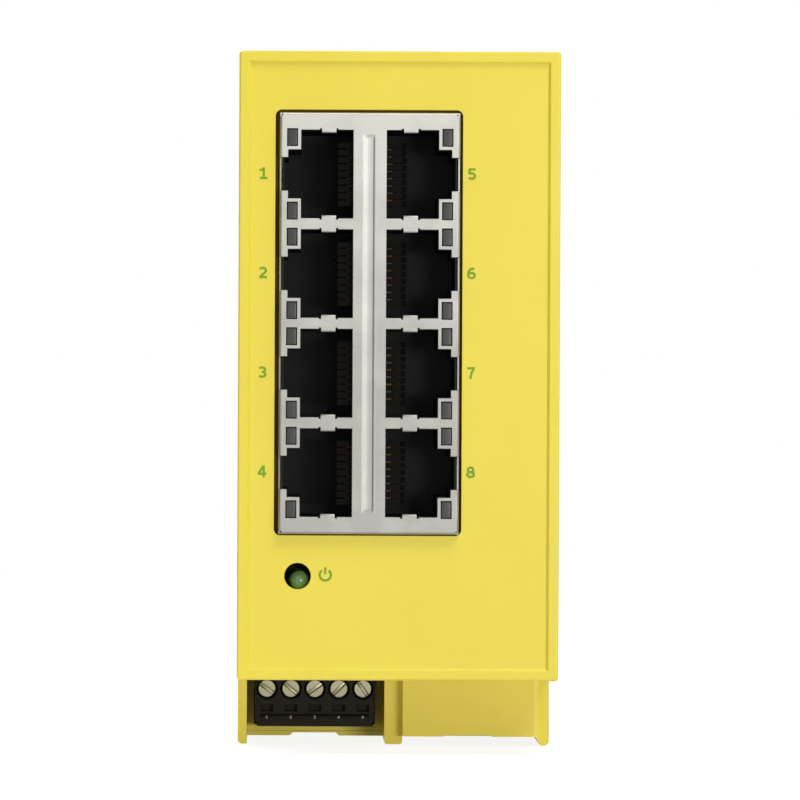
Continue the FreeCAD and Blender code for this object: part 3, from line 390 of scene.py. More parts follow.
# Lighter towards the top of the shield, from 2 to 41 mm: painted light.
SHIELD_TIN = PlatedMetal(
    "shield_tin",
    (0.433, 0.423, 0.391),
    (0.296, 0.289, 0.266),
    roughness=0.50,
    streak_axis=Axis.X,
    painted_light_mm=(2.0, 41.0),
    cloud=0.6,
    relief_mm=0.004,
)
# The bead's tin stays lighter low down than the shield's: a painted highlight on the bead.
BEAD_HIGHLIGHT_TIN = replace(SHIELD_TIN, name="bead_highlight_tin", shade=(0.325, 0.317, 0.292))
# A dark, dull gold: painted shade on the contacts deep in the ports.
SHADED_CONTACT_GOLD = PlatedMetal(
    "contact_gold", (0.115, 0.054, 0.023), (0.094, 0.045, 0.019), roughness=0.5, metallic=0.4
)
SPRING_STEEL = PlatedMetal("spring_steel", (0.50, 0.50, 0.48), (0.42, 0.42, 0.40), roughness=0.25)
CAN_STEEL = PlatedMetal("can_steel", (0.62, 0.62, 0.60), (0.50, 0.50, 0.48))
CAN_ALUMINIUM = PlatedMetal("can_aluminium", (0.66, 0.66, 0.66), (0.55, 0.55, 0.55))
# On the screws, lighter upwards between -43 and -40 mm: painted light.
SCREW_STEEL = PlatedMetal(
    "screw_steel", (0.32, 0.303, 0.20), (0.255, 0.242, 0.16), 0.42, painted_light_mm=(-43.0, -40.0), metallic=0.85
)
CLAMP_TIN = PlatedMetal("clamp_tin", (0.55, 0.54, 0.50), (0.44, 0.43, 0.40))
LENS_GREY = TintedLens("lens_grey", (0.030, 0.029, 0.026), (0.022, 0.021, 0.019), 0.0, roughness=0.3)
LIGHT_GREEN = TintedLens("light_green", (0.145, 0.300, 0.112), (0.118, 0.256, 0.090), clearness=0.08)
BOARD_GREEN = CircuitBoard("board_green", (0.012, 0.075, 0.035), (0.022, 0.12, 0.055))
PRINT_GREEN = PadInk("print_green", (0.195, 0.360, 0.024), (0.235, 0.390, 0.030))
PRINT_WHITE = PadInk("print_white", (0.46, 0.46, 0.44), (0.34, 0.34, 0.32))


@dataclass
class Shape:
    """Points and faces of a surface before it becomes a piece."""

    points: np.ndarray
    faces: list[list[int]]

    def repeated(self, offsets: np.ndarray) -> "Shape":
        """The shape once at each offset: every point plus every offset.

        Args:
            offsets: one row of x, y and z for each copy, in millimetres.

        Returns:
            All the copies as one shape.
        """
        count = len(self.points)
        points = (offsets[:, None, :] + self.points[None, :, :]).reshape(-1, 3)
        starts = [copy * count for copy in range(len(offsets))]
        faces = [[corner + start for corner in face] for start in starts for face in self.faces]
        return Shape(points, faces)

    def joined(self, other: "Shape") -> "Shape":
        """This shape and another as one.

        Args:
            other: the shape that is added.

        Returns:
            Both as one shape.
        """
        start = len(self.points)
        faces = self.faces + [[corner + start for corner in face] for face in other.faces]
        return Shape(np.vstack([self.points, other.points]), faces)

    def piece(self, name: str, body: Body, slot: Slot, smooth: bool = False) -> bpy.types.Object:
        """Make the object of this shape and let it ride on a body.

        Args:
            name: the piece's name.
            body: the body that carries it.
            slot: the record's slot for its finish; not used.
            smooth: whether its faces shade as one curved surface.

        Returns:
            The new object, at the origin with its place in its mesh.
        """
        mesh = bpy.data.meshes.new(name)
        mesh.from_pydata((self.points * MM).tolist(), [], self.faces)
        mesh.polygons.foreach_set("use_smooth", np.full(len(mesh.polygons), smooth))
        mesh.update()
        thing = bpy.data.objects.new(name, mesh)
        bpy.context.scene.collection.objects.link(thing)
        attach(thing, body.value)
        LOG.info("piece %s rides on %s with %d faces", name, body.value, len(mesh.polygons))
        return thing


def grid_faces(rows: int, columns: int, wrap: bool) -> list[list[int]]:
    """Four-cornered faces between neighbouring rows and columns of a grid of points.

    Args:
        rows: number of rows.
        columns: number of points in a row.
        wrap: whether the last column joins the first.

    Returns:
        Corner numbers of each face.
    """
    last = columns if wrap else columns - 1
    start, column = np.meshgrid(np.arange(rows - 1) * columns, np.arange(last), indexing="ij")
    here, after = start + column, start + (column + 1) % columns
    corners = [here, after, after + columns, here + columns]
    return np.stack(corners, axis=-1).reshape(-1, 4).tolist()


def eased(value: np.ndarray, start: float, end: float) -> np.ndarray:
    """A rise from 0 at a start to 1 at an end as half a cosine wave."""
    share = np.clip((value - start) / (end - start), 0.0, 1.0)
    return 0.5 - 0.5 * np.cos(math.pi * share)


def settled(value: np.ndarray, start: float, end: float) -> np.ndarray:
    """A rise from 0 at a start to 1 at an end as a quarter of a sine wave, steep at first."""
    share = np.clip((value - start) / (end - start), 0.0, 1.0)
    return np.sin(math.pi / 2 * share)


def swept(path: np.ndarray, side: np.ndarray, up: np.ndarray, profile: np.ndarray) -> Shape:
    """A closed profile carried along a path.

    Each point is the path's point plus the profile's x along side plus its y along up.

    Args:
        path: points of the path, in millimetres.
        side: the profile's first direction at each point.
        up: the profile's second direction at each point.
        profile: corners of the closed profile.

    Returns:
        The swept solid with both ends closed.
    """
    points = path[:, None] + profile[None, :, :1] * side[:, None] + profile[None, :, 1:] * up[:, None]
    rows, columns = points.shape[:2]
    faces = grid_faces(rows, columns, True)
    faces.append(list(range(columns))[::-1])
    faces.append([(rows - 1) * columns + corner for corner in range(columns)])
    return Shape(points.reshape(-1, 3), faces)


def lathed(middle: Point, profile: np.ndarray, turns: int) -> Shape:
    """A profile of radius and depth turned about a line along Y.

    At angle a a point is the middle plus radius times (cos a, 0, sin a) plus depth along Y.

    Args:
        middle: a point on the line, in millimetres.
        profile: radius and depth of each ring, from the front to the back.
        turns: number of steps round the line.

    Returns:
        The turned surface, closed by its first and last rings.
    """
    angle = np.linspace(0.0, 2.0 * math.pi, turns, endpoint=False)
    radius, depth = profile[:, :1], profile[:, 1:]
    x = radius * np.cos(angle)
    z = radius * np.sin(angle)
    points = np.stack([x, np.broadcast_to(depth, x.shape), z], axis=-1) + np.array(middle)
    rows = len(profile)
    faces = grid_faces(rows, turns, True)
    faces.append(list(range(turns))[::-1])
    faces.append([(rows - 1) * turns + corner for corner in range(turns)])
    return Shape(points.reshape(-1, 3), [face[::-1] for face in faces])


def dress(node: str, material: bpy.types.Material) -> bpy.types.Object:
    """Give a CAD node its finish.

    Args:
        node: the node's name.
        material: the finish.

    Returns:
        The node's object.
    """
    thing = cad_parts[node]
    thing.data.materials.clear()
    thing.data.materials.append(material)
    LOG.info("node %s takes %s", node, material.name)
    return thing


def weld(thing: bpy.types.Object) -> None:
    """Weld a node's loose triangles and shade them as one surface."""
    thing.data.polygons.foreach_set("use_smooth", np.full(len(thing.data.polygons), True))
    thing.modifiers.new("weld", "WELD").merge_threshold = WELD_M


def smooth(thing: bpy.types.Object) -> None:
    """Shade a node's curves evenly: weld its triangles, split sharp edges and weigh the normals.

    Args:
        thing: the node's object.
    """
    weld(thing)
    split = thing.modifiers.new("split", "EDGE_SPLIT")
    split.split_angle = math.radians(SHARP_DEG)
    split.use_edge_sharp = False
    thing.modifiers.new("even", "WEIGHTED_NORMAL").weight = EVEN_WEIGHT


def soften(thing: bpy.types.Object, radius_mm: float) -> None:
    """Round a CAD node's sharp edges: weld its triangles, bevel the edges and even out the normals.

    Args:
        thing: the node's object.
        radius_mm: the width of the rounding.
    """
    weld(thing)
    plain = thing.modifiers.new("plain", "DECIMATE")
    plain.decimate_type = "DISSOLVE"
    plain.angle_limit = math.radians(FLAT_DEG)
    bevel = thing.modifiers.new("edge", "BEVEL")
    bevel.width = radius_mm * MM
    bevel.segments = BEVEL_STEPS
    bevel.limit_method = "ANGLE"
    bevel.angle_limit = math.radians(SHARP_DEG)
    bevel.use_clamp_overlap = False
    thing.modifiers.new("even", "WEIGHTED_NORMAL").weight = EVEN_WEIGHT


@dataclass
class Case:
    """The two base shells, the front cover and a dark brown ring of painted shade in the gap round the
    jack.
    """

    nodes: tuple[str, ...] = ("left_shell", "right_shell", "front_cover")
    window_x: tuple[float, float] = (-17.475, 8.875)
    window_z: tuple[float, float] = (-18.58, 41.27)
    jack_x: tuple[float, float] = (-16.905, 8.505)
    jack_z: tuple[float, float] = (-18.41, 40.85)
    gap_shade_front: float = -107.6
    gap_shade_thick: float = 0.5
    gap_shade_hold: float = 0.05

    def gap_shade(self) -> Shape:
        """A flat dark brown ring in the gap round the jack, painted shade: a four-cornered profile
        carried round four corners.

        Each corner of the ring has an outer and an inner place, at the ring's front and at its back.

        Returns:
            The closed ring.
        """
        hold = np.array([-self.gap_shade_hold, self.gap_shade_hold])
        outer = (np.array(self.window_x) + hold, np.array(self.window_z) + hold)
        inner = (np.array(self.jack_x), np.array(self.jack_z))
        turn_x, turn_z = [0, 1, 1, 0], [0, 0, 1, 1]
        corners = len(turn_x)
        profile = [(outer, 0.0), (inner, 0.0), (inner, self.gap_shade_thick), (outer, self.gap_shade_thick)]
        rings = [
            np.stack([wide[turn_x], np.full(corners, self.gap_shade_front + depth), tall[turn_z]], axis=-1)
            for (wide, tall), depth in profile
        ]
        points = np.stack(rings, axis=1).reshape(-1, 3)
        faces = np.array(grid_faces(corners + 1, len(profile), True)) % len(points)
        return Shape(points, faces.tolist())

    def build(self) -> None:
        """Yellow plastic on all three, with even shading over their rounded edges, and the ring of
        painted shade in the jack's gap.
        """
        plastic = YELLOW.material()
        for node in self.nodes:
            smooth(dress(node, plastic))
        # The ring's dark brown paints the shade of the window's inner wall.
        gap_shade = self.gap_shade().piece("window_gap_shade", Body.CASE, Slot.INSERT)
        gap_shade.data.materials.append(GAP_SHADE_BROWN.material())


def arc(x: float, y: float, across: float, tall: float, start_deg: float, end_deg: float) -> np.ndarray:
    """Points on an ellipse from one angle to another: (x, y) plus its radii times (cos a, sin a)."""
    angle = np.radians(np.linspace(start_deg, end_deg, ARC_STEPS))
    return np.stack([x + across * np.cos(angle), y + tall * np.sin(angle)], axis=-1)


def line(*corners: tuple[float, float]) -> np.ndarray:
    """A stroke through corners."""
    return np.array(corners)


FIGURE_WIDE = 0.80
FIGURE_TALL = 1.0
FIGURE_STROKE = 0.20
FIGURE_LAYER = 0.004
FIGURES: dict[int, list[np.ndarray]] = {
    1: [
        line((0.09, 0.09), (0.75, 0.09)),
        line((0.42, 0.05), (0.42, 1.0)),
        line((0.44, 0.92), (0.30, 0.80), (0.08, 0.76)),
    ],
    2: [
        np.vstack([arc(0.38, 0.67, 0.27, 0.23, 155, -25), line((0.48, 0.42), (0.16, 0.14))]),
        line((0.09, 0.09), (0.74, 0.09)),
    ],
    3: [arc(0.36, 0.705, 0.26, 0.195, 150, -90), arc(0.36, 0.305, 0.29, 0.205, 95, -150)],
    4: [
        line((0.49, 0.93), (0.10, 0.33)),
        line((0.06, 0.30), (0.78, 0.30)),
        line((0.54, 1.0), (0.54, 0.0)),
    ],
    5: [
        line((0.70, 0.91), (0.12, 0.91)),
        line((0.20, 0.91), (0.17, 0.50)),
        arc(0.37, 0.335, 0.29, 0.235, 132, -145),
    ],
    6: [
        np.vstack([arc(0.50, 0.42, 0.38, 0.49, 70, 180), line((0.12, 0.34))]),
        arc(0.40, 0.32, 0.28, 0.22, 0, 360),
    ],
    7: [line((0.08, 0.91), (0.72, 0.91)), line((0.64, 0.90), (0.44, 0.50), (0.32, 0.0))],
    8: [arc(0.40, 0.715, 0.24, 0.185, 0, 360), arc(0.40, 0.305, 0.29, 0.205, 0, 360)],
}


def figure(number: int, tall_mm: float, middle: Point) -> Shape:
    """A printed figure: each stroke's middle line, widened to both sides along its own normal.

    Each stroke lies one thin layer in front of the stroke before it.

    Args:
        number: the figure, from 1 to 8.
        tall_mm: its height.
        middle: where its middle goes, in millimetres.

    Returns:
        The flat figure, looking towards the front.
    """
    shape = Shape(np.zeros((0, 3)), [])
    for layer, path in enumerate(FIGURES[number]):
        ahead = np.gradient(path, axis=0)
        ahead /= np.linalg.norm(ahead, axis=1, keepdims=True)
        normal = np.stack([-ahead[:, 1], ahead[:, 0]], axis=-1)
        edges = np.stack([path + normal * side * FIGURE_STROKE / 2 for side in (1, -1)], axis=1)
        flat = (edges.reshape(-1, 2) - np.array([FIGURE_WIDE, FIGURE_TALL]) / 2) * tall_mm
        depth = np.full(len(flat), -layer * FIGURE_LAYER)
        points = np.stack([flat[:, 0], depth, flat[:, 1]], axis=-1) + np.array(middle)
        shape = shape.joined(Shape(points, grid_faces(len(path), 2, False)))
    return shape


@dataclass
class FacePrint:
    """Port numbers and the sign of the status light, printed on the sunk face."""

    face_mm: float = -108.6
    film_mm: float = 0.02
    left_x: float = -19.15
    right_x: float = 10.15
    rows_z: tuple[float, ...] = (32.3, 18.35, 4.35, -9.6)
    tall_mm: float = 1.63
    sign_x: float = -10.2
    sign_z: float = -24.1
    sign_radius: float = 0.95
    sign_line: float = 0.32
    sign_gap_deg: float = 38.0
    sign_steps: int = 41
    bar_low: float = 0.1
    bar_high: float = 1.09

    def sign(self) -> Shape:
        """An open ring, radius times (sin a, cos a), with an upright line in its gap.

        Returns:
            The flat sign, looking towards the front.
        """
        gap = math.radians(self.sign_gap_deg)
        angle = np.linspace(gap, 2.0 * math.pi - gap, self.sign_steps)
        radius = np.array([self.sign_radius - self.sign_line, self.sign_radius])
        depth = np.full((len(angle), 2), self.face_mm - self.film_mm)
        across = self.sign_x + np.sin(angle)[:, None] * radius
        upward = self.sign_z + np.cos(angle)[:, None] * radius
        ring = np.stack([across, depth, upward], axis=-1)
        sides = (self.sign_x - self.sign_line / 2, self.sign_x + self.sign_line / 2)
        ends = (self.sign_z + self.bar_low, self.sign_z + self.bar_high)
        bar = np.array([[x, self.face_mm - self.film_mm, z] for z in ends for x in sides])
        shape = Shape(ring.reshape(-1, 3), [face[::-1] for face in grid_faces(len(angle), 2, False)])
        return shape.joined(Shape(bar, grid_faces(2, 2, False)))

    def build(self) -> None:
        """Print the numbers down both columns and the sign beside the light."""
        places = [(self.left_x, z) for z in self.rows_z] + [(self.right_x, z) for z in self.rows_z]
        shape = self.sign()
        for port, (x, z) in enumerate(places, start=1):
            shape = shape.joined(figure(port, self.tall_mm, (x, self.face_mm - self.film_mm, z)))
        piece = shape.piece("face_print", Body.CASE, Slot.LIGHT)
        piece.data.materials.append(PRINT_GREEN.material())


@dataclass
class JackBlock:
    """The shield with its bead, the insert with its combs, the light windows and the contacts."""

    middle_x: float = -4.2
    middle_z: float = 11.22
    pitch: float = 13.97
    rows: int = 4
    front: float = -109.6
    comb_near: float = 2.4
    comb_far: float = 5.15
    comb_front: float = 1.6
    comb_deep: float = 3.4
    comb_bevel: float = 0.7
    rib_pitch: float = 1.02
    rib_wide: float = 0.78
    ribs: int = 9
    edge_mm: float = 0.05
    lens_edge_mm: float = 0.16
    bead_half: float = 1.035
    bead_long: float = 53.47
    bead_deep: float = 0.16
    bead_left: tuple[float, float] = (-1.03, -0.25)
    bead_right: tuple[float, float] = (0.46, 0.76)
    bead_bowl: float = 0.95
    bead_bowl_share: float = 0.22
    bead_tip: float = 0.8
    bead_thick: float = 0.01
    bead_columns: int = 111
    bead_tip_rows: int = 25

    def bead(self) -> Shape:
        """The pressed bead: a depth across times a depth along.

        Across, the depth rises over the broad left wall and falls over the narrow right wall, each
        as a quarter of a sine wave, and a share of it is an even bowl. The bowl and the rise along
        the tip at both ends are half cosine waves.

        Returns:
            The bead as an open sheet.
        """
        half = self.bead_long / 2
        tip = np.linspace(0.0, self.bead_tip, self.bead_tip_rows)
        across = np.linspace(-self.bead_half, self.bead_half, self.bead_columns)
        along = np.concatenate([tip - half, half - tip[::-1]])
        walls = settled(across, *self.bead_left) - settled(across, *self.bead_right)
        bowl = eased(self.bead_bowl - np.abs(across), 0.0, self.bead_bowl)
        mixed = walls + self.bead_bowl_share * (bowl - walls)
        tips = eased(half - np.abs(along), 0.0, self.bead_tip)
        x, z = np.meshgrid(across, along, indexing="xy")
        sunk = self.bead_deep * mixed * tips[:, None]
        points = np.stack([x + self.middle_x, sunk + self.front, z + self.middle_z], axis=-1)
        return Shape(points.reshape(-1, 3), grid_faces(len(along), len(across), False))

    def comb(self) -> Shape:
        """Broad ribs with slits over the contacts: a bevelled outline in X and Y carried along Z.

        Returns:
            The ribs of all the ports.
        """
        near, far = self.comb_near, self.comb_far
        start, end = self.front + self.comb_front, self.front + self.comb_deep
        tip = [[near, start], [far - self.comb_bevel, start], [far, start + self.comb_bevel]]
        outline = np.array(tip + [[far, end], [near, end]])
        steps = (np.arange(self.ribs) - (self.ribs - 1) / 2) * self.rib_pitch
        return self.mirrored(outline, self.rib_wide, steps)

    def mirrored(self, outline: np.ndarray, tall: float, steps: np.ndarray) -> Shape:
        """An outline carried along Z, in every row of ports and in both columns.

        Args:
            outline: corners across and in depth, measured from the middle of the jack.
            tall: how far it is carried.
            steps: heights of its copies about a port's middle.

        Returns:
            All the copies as one shape.
        """
        rows = self.middle_z + (np.arange(self.rows) - (self.rows - 1) / 2) * self.pitch
        places = (rows[:, None] + steps).ravel()
        offsets = np.stack([np.full_like(places, self.middle_x), np.zeros_like(places), places], axis=-1)
        path = np.array([[0.0, 0.0, -tall / 2], [0.0, 0.0, tall / 2]])
        side = np.tile(np.array([1.0, 0.0, 0.0]), (2, 1))
        up = np.tile(np.array([0.0, 1.0, 0.0]), (2, 1))
        right = swept(path, side, up, outline)
        left = swept(path, -side, up, outline)
        left.faces = [face[::-1] for face in left.faces]
        return right.repeated(offsets).joined(left.repeated(offsets))

    def build(self) -> None:
        """Make the combs and the bead, and dress the jack's nodes."""
        comb = self.comb().piece("contact_combs", Body.CASE, Slot.INSERT)
        # The ribs take the darker black of painted shade.
        comb.data.materials.append(COMB_SHADE_BLACK.material())
        soften(dress("jack_shield", SHIELD_TIN.material()), self.edge_mm)
        bead = self.bead().piece("shield_bead", Body.CASE, Slot.SHIELD, True)
        bead.data.materials.append(BEAD_HIGHLIGHT_TIN.material())
        wall = bead.modifiers.new("sheet", "SOLIDIFY")
        wall.thickness = self.bead_thick * MM
        wall.offset = -1.0
        dress("jack_body", INSERT_BLACK.material())
        soften(dress("led_lenses", LENS_GREY.material()), self.lens_edge_mm)
        # The contacts take the gold darkened by painted shade.
        dress("jack_contacts", SHADED_CONTACT_GOLD.material())


@dataclass
class StatusLight:
    """The domed status light behind its hole."""

    middle: Point = (-13.82, 0.0, -25.0)
    radius: float = 1.45
    flange: float = 1.7
    flange_thick: float = 1.0
    tip: float = -107.6
    length: float = 6.0
    dome_deg: float = 88.0
    dome_rings: int = 14
    turns: int = 40

    def build(self) -> None:
        """Turn a dome of nearly a quarter circle, a straight stem and a flange about the light's axis."""
        angle = np.linspace(math.radians(self.dome_deg), 0.0, self.dome_rings)
        depth = self.tip + self.radius * (1.0 - np.sin(angle))
        dome = np.stack([self.radius * np.cos(angle), depth], axis=-1)
        end = self.tip + self.length
        step = end - self.flange_thick
        stem = np.array([[self.radius, step], [self.flange, step], [self.flange, end]])
        shape = lathed(self.middle, np.vstack([dome, stem]), self.turns)
        piece = shape.piece("status_light", Body.CASE, Slot.LIGHT, True)
        piece.data.materials.append(LIGHT_GREEN.material())
        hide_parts("power_led")
        dress("led_stand", INSERT_BLACK.material())


@dataclass
class TerminalPlug:
    """The pluggable terminal with its clamp screws and cages, and the header behind it."""

    poles: int = 5
    middle_x: float = -11.4
    pitch: float = 3.5
    ledge_front: float = -80.9
    label_z: float = -45.83
    label_mm: float = 0.42
    film_mm: float = 0.02
    edge_mm: float = 0.08

    def labels(self) -> Shape:
        """Plain numbers on the ledge under the test slots.

        Returns:
            The numbers of all the poles.
        """
        shape = Shape(np.zeros((0, 3)), [])
        for pole in range(self.poles):
            x = self.middle_x + (pole - (self.poles - 1) / 2) * self.pitch
            shape = shape.joined(
                figure(pole + 1, self.label_mm, (x, self.ledge_front - self.film_mm, self.label_z))
            )
        return shape

    def build(self) -> None:
        """Dress the plug and header, and print the pole numbers."""
        plastic = PLUG_BLACK.material()
        soften(dress("plug_body", plastic), self.edge_mm)
        dress("terminal_header", plastic)
        tin = CLAMP_TIN.material()
        for node in ("plug_contacts", "header_pins"):
            dress(node, tin)
        steel = SCREW_STEEL.material()
        for pole in range(1, self.poles + 1):
            soften(dress(f"clamp_screw_{pole}", steel), self.edge_mm)
            dress(f"clamp_cage_{pole}", tin)
        piece = self.labels().piece("plug_numbers", Body.PLUG, Slot.PLUG)
        piece.data.materials.append(PRINT_WHITE.material())


@dataclass
class RailLatch:
    """The sliding rail latch and the folded spring that lifts it."""

    low_z: float = -39.0
    high_z: float = -27.0
    middle_y: float = 2.0
    legs: int = 8
    reach: float = 1.95
    strip: float = 0.46
    deep: float = 1.2
    travel: float = 4.0
    leg_steps: int = 24
    flatness: float = 2.2
    edge_mm: float = 0.12

    def spring(self) -> Shape:
        """A strip whose middle line swings from side to side as it climbs, with flattened turns.

        Across, the line is the reach times tanh of a steepened sine over its own largest value;
        upwards it climbs evenly.

        Returns:
            The closed strip.
        """
        climb = np.linspace(0.0, 1.0, self.leg_steps * self.legs + 1)
        phase = (climb * (self.legs - 1) + 0.5) * math.pi
        swing = np.tanh(self.flatness * np.sin(phase)) / math.tanh(self.flatness)
        rise = self.low_z + self.strip / 2 + climb * (self.high_z - self.low_z - self.strip)
        path = np.stack([self.reach * swing, np.full_like(climb, self.middle_y), rise], axis=-1)
        ahead = np.gradient(path, axis=0)
        ahead /= np.linalg.norm(ahead, axis=1, keepdims=True)
        up = np.tile(np.array([0.0, 1.0, 0.0]), (len(path), 1))
        side = np.cross(up, ahead)
        half, deep = self.strip / 2, self.deep / 2
        profile = np.array([[-half, -deep], [half, -deep], [half, deep], [-half, deep]])
        return swept(path, side, up, profile)

    def build(self) -> None:
        """Dress the latch and make the folded spring."""
        soften(dress("din_latch", LATCH_BLACK.material()), self.edge_mm)
        piece = self.spring().piece("folded_spring", Body.CASE, Slot.SPRING)
        piece.data.materials.append(SPRING_STEEL.material())
        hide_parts("latch_spring")
        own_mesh(piece)


@dataclass
class Electronics:
    """The boards and what stands on them."""

    boards: tuple[str, ...] = ("main_board", "power_board")
    moulded: tuple[str, ...] = ("switch_chip", "board_link", "regulator")

    def dress(self) -> None:
        """Solder mask on the boards, plastic and metal on the rest."""
        mask = BOARD_GREEN.material()
        for node in self.boards:
            dress(node, mask)
        chip = CHIP_BLACK.material()
        for node in self.moulded:
            dress(node, chip)
        dress("oscillator", CAN_STEEL.material())
        dress("capacitors", CAN_ALUMINIUM.material())
        dress("inductor", COIL_GREY.material())


@dataclass(frozen=True)
class Lamp:
    """A soft lamp, so wide and so tall, that looks at a point."""

    name: str
    place: Point
    wide: float
    tall: float
    power: float
    target: Point = (0.0, -0.1, 0.0)

    def light(self) -> None:
        """Hang the lamp and turn it to its target."""
        data = bpy.data.lights.new(self.name, "AREA")
        data.shape = "RECTANGLE"
        data.size = self.wide
        data.size_y = self.tall
        data.energy = self.power
        lamp = bpy.data.objects.new(self.name, data)
        bpy.context.scene.collection.objects.link(lamp)
        lamp.location = self.place
        ahead = Vector(self.target) - Vector(self.place)
        lamp.rotation_euler = ahead.to_track_quat("-Z", "Y").to_euler()


@dataclass
class Studio:
    """White floor and sky, soft lamps, a dark flag on the left and the photograph's camera."""

    floor_z: float = -0.0496
    floor_half: float = 0.6
    world_light: float = 0.20
    world_white: float = 1.0
    shadow_share: float = 0.3
    paper_glow: float = 1.26
    paper_mm: float = 40.0
    paper_tones: tuple[float, float] = (0.79, 0.81)
    cloth_tones: tuple[float, float] = (0.02, 0.03)
    lamps: tuple[Lamp, ...] = (
        Lamp("key_lamp", (0.20, -0.36, 0.62), 0.3, 0.3, 2.8),
        Lamp("right_lamp", (0.42, -1.20, -0.005), 0.40, 0.08, 4.5),
        Lamp("left_lamp", (-0.60, -1.20, -0.005), 0.40, 0.08, 0.8),
        Lamp("back_lamp", (-0.50, 0.90, 0.70), 0.6, 0.6, 12.0),
    )
    flag_x: float = -0.45
    flag_y: tuple[float, float] = (-0.75, 0.15)
    flag_top: float = 0.35
    lens_mm: float = 231.7
    sensor_mm: float = 36.0
    clip_m: tuple[float, float] = (0.01, 20.0)
    camera_place: Point = (-0.0164, -0.832, 0.001)
    roll_deg: float = 0.28
    middle_px: tuple[float, float] = (282.0, 396.0)

    def white(self) -> bpy.types.Material:
        """White to the eye, to gloss and through glass, with a share of the lamps' light and shadow.

        Returns:
            The floor's material.
        """
        graph = Graph("studio_white")
        tone = graph.ramp(graph.noise(self.paper_mm), *greys(self.paper_tones))
        paper = graph.add("BsdfDiffuse", Color=tone)
        glow = graph.add("Emission", Color=(1, 1, 1, 1), Strength=self.paper_glow)
        seen = graph.add("MapRange", Value=sight(graph.tree), To_Max=1.0 - self.shadow_share)
        mix = graph.add("MixShader", Fac=seen.outputs["Result"])
        graph.tree.links.new(paper.outputs[0], mix.inputs[1])
        graph.tree.links.new(glow.outputs[0], mix.inputs[2])
        graph.tree.links.new(mix.outputs[0], graph.output.inputs["Surface"])
        return graph.material

    def black(self) -> bpy.types.Material:
        """Dull black cloth.

        Returns:
            The flag's material.
        """
        graph = Graph("studio_black")
        tone = graph.ramp(graph.noise(self.paper_mm), *greys(self.cloth_tones))
        cloth = graph.add("BsdfDiffuse", Color=tone)
        graph.tree.links.new(cloth.outputs[0], graph.output.inputs["Surface"])
        return graph.material

    def sheet(self, name: str, corners: list[Point], material: bpy.types.Material) -> bpy.types.Object:
        """A flat sheet of the stage.

        Args:
            name: the sheet's name.
            corners: its four corners, in metres.
            material: its finish.

        Returns:
            The sheet's object.
        """
        mesh = bpy.data.meshes.new(name)
        mesh.from_pydata(corners, [], [[0, 1, 2, 3]])
        mesh.materials.append(material)
        thing = bpy.data.objects.new(name, mesh)
        bpy.context.scene.collection.objects.link(thing)
        return thing

    def floor(self) -> None:
        """The white sheet under the case."""
        half = self.floor_half
        around = ((-half, -half), (half, -half), (half, half), (-half, half))
        self.sheet("floor", [(x, y, self.floor_z) for x, y in around], self.white())

    def flag(self) -> None:
        """A black card on the left that only gloss can see, so that metal gets a dark side."""
        front, back = self.flag_y
        low, high = self.floor_z, self.flag_top
        around = ((front, low), (back, low), (back, high), (front, high))
        card = self.sheet("flag", [(self.flag_x, y, z) for y, z in around], self.black())
        card.visible_camera = False
        card.visible_diffuse = False
        card.visible_shadow = False

    def world(self) -> None:
        """White to the eye and to gloss, and an even soft light to the rest."""
        world = bpy.data.worlds.new("studio")
        world.use_nodes = True
        bpy.context.scene.world = world
        tree = world.node_tree
        tree.nodes.clear()
        output = tree.nodes.new("ShaderNodeOutputWorld")
        mix = tree.nodes.new("ShaderNodeMixShader")
        tree.links.new(sight(tree), mix.inputs["Fac"])
        for strength, socket in ((self.world_light, mix.inputs[1]), (self.world_white, mix.inputs[2])):
            sky = tree.nodes.new("ShaderNodeBackground")
            sky.inputs["Color"].default_value = (1, 1, 1, 1)
            sky.inputs["Strength"].default_value = strength
            tree.links.new(sky.outputs[0], socket)
        tree.links.new(mix.outputs[0], output.inputs["Surface"])

    def camera(self) -> None:
        """A long lens square to the face, shifted as the photograph is framed."""
        data = bpy.data.cameras.new("photo_camera")
        data.lens = self.lens_mm
        data.sensor_width = self.sensor_mm
        data.shift_x = 0.5 - self.middle_px[0] / IMAGE_SIDE
        data.shift_y = self.middle_px[1] / IMAGE_SIDE - 0.5
        data.clip_start, data.clip_end = self.clip_m
        camera = bpy.data.objects.new("photo_camera", data)
        bpy.context.scene.collection.objects.link(camera)
        level = Matrix.Rotation(math.pi / 2, 4, "X")
        roll = Matrix.Rotation(math.radians(self.roll_deg), 4, "Z")
        camera.matrix_world = Matrix.Translation(self.camera_place) @ level @ roll
        bpy.context.scene.camera = camera

    def build(self) -> None:
        """Set up the stage, the light and the camera."""
        bpy.context.scene.view_settings.view_transform = "Standard"
        self.floor()
        self.flag()
        self.world()
        for lamp in self.lamps:
            lamp.light()
        self.camera()


def greys(tones: tuple[float, float]) -> tuple[Stop, Stop]:
    """Two greys for the ends of a ramp."""
    low, high = tones
    return (0.0, (low,) * 3), (1.0, (high,) * 3)


def sight(tree: bpy.types.NodeTree) -> Socket:
    """A value of 1 for what the camera sees straight, in gloss or through glass.

    Args:
        tree: the nodes that get the test.

    Returns:
        The value, 0 for all other light.
    """
    path = tree.nodes.new("ShaderNodeLightPath")
    total = path.outputs["Is Camera Ray"]
    for name in ("Is Glossy Ray", "Is Transmission Ray"):
        most = tree.nodes.new("ShaderNodeMath")
        most.operation = "MAXIMUM"
        tree.links.new(total, most.inputs[0])
        tree.links.new(path.outputs[name], most.inputs[1])
        total = most.outputs[0]
    return total


def main() -> None:
    """Build and dress every sub-assembly, then set up the studio."""
    logging.basicConfig(level=logging.INFO, format="%(message)s")
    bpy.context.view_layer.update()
    Case().build()
    FacePrint().build()
    JackBlock().build()
    StatusLight().build()
    TerminalPlug().build()
    RailLatch().build()
    Electronics().dress()
    Studio().build()


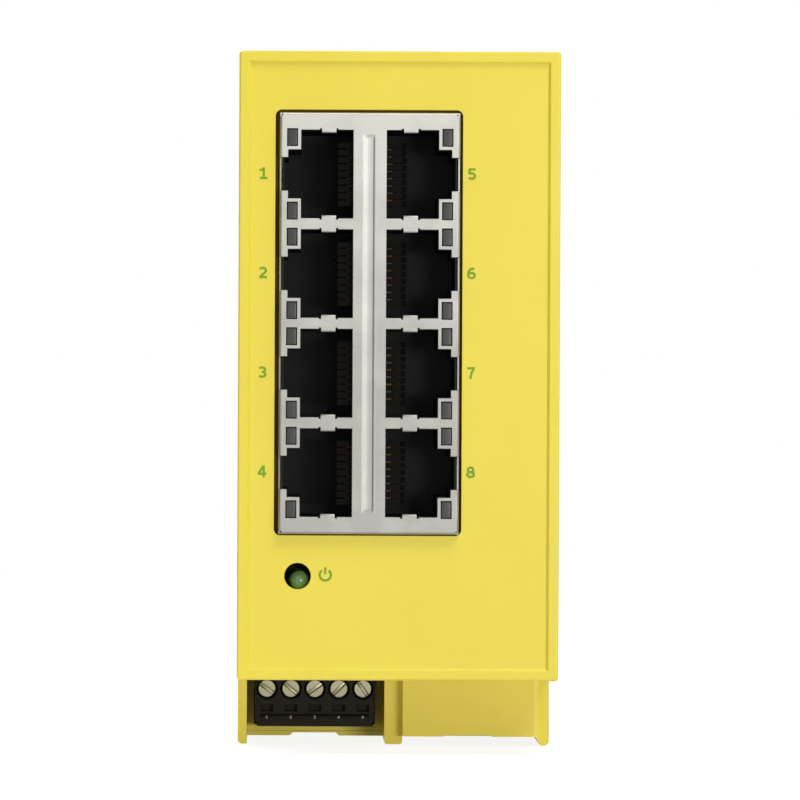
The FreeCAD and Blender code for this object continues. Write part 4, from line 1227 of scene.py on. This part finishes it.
if __name__ == "__main__":
    main()
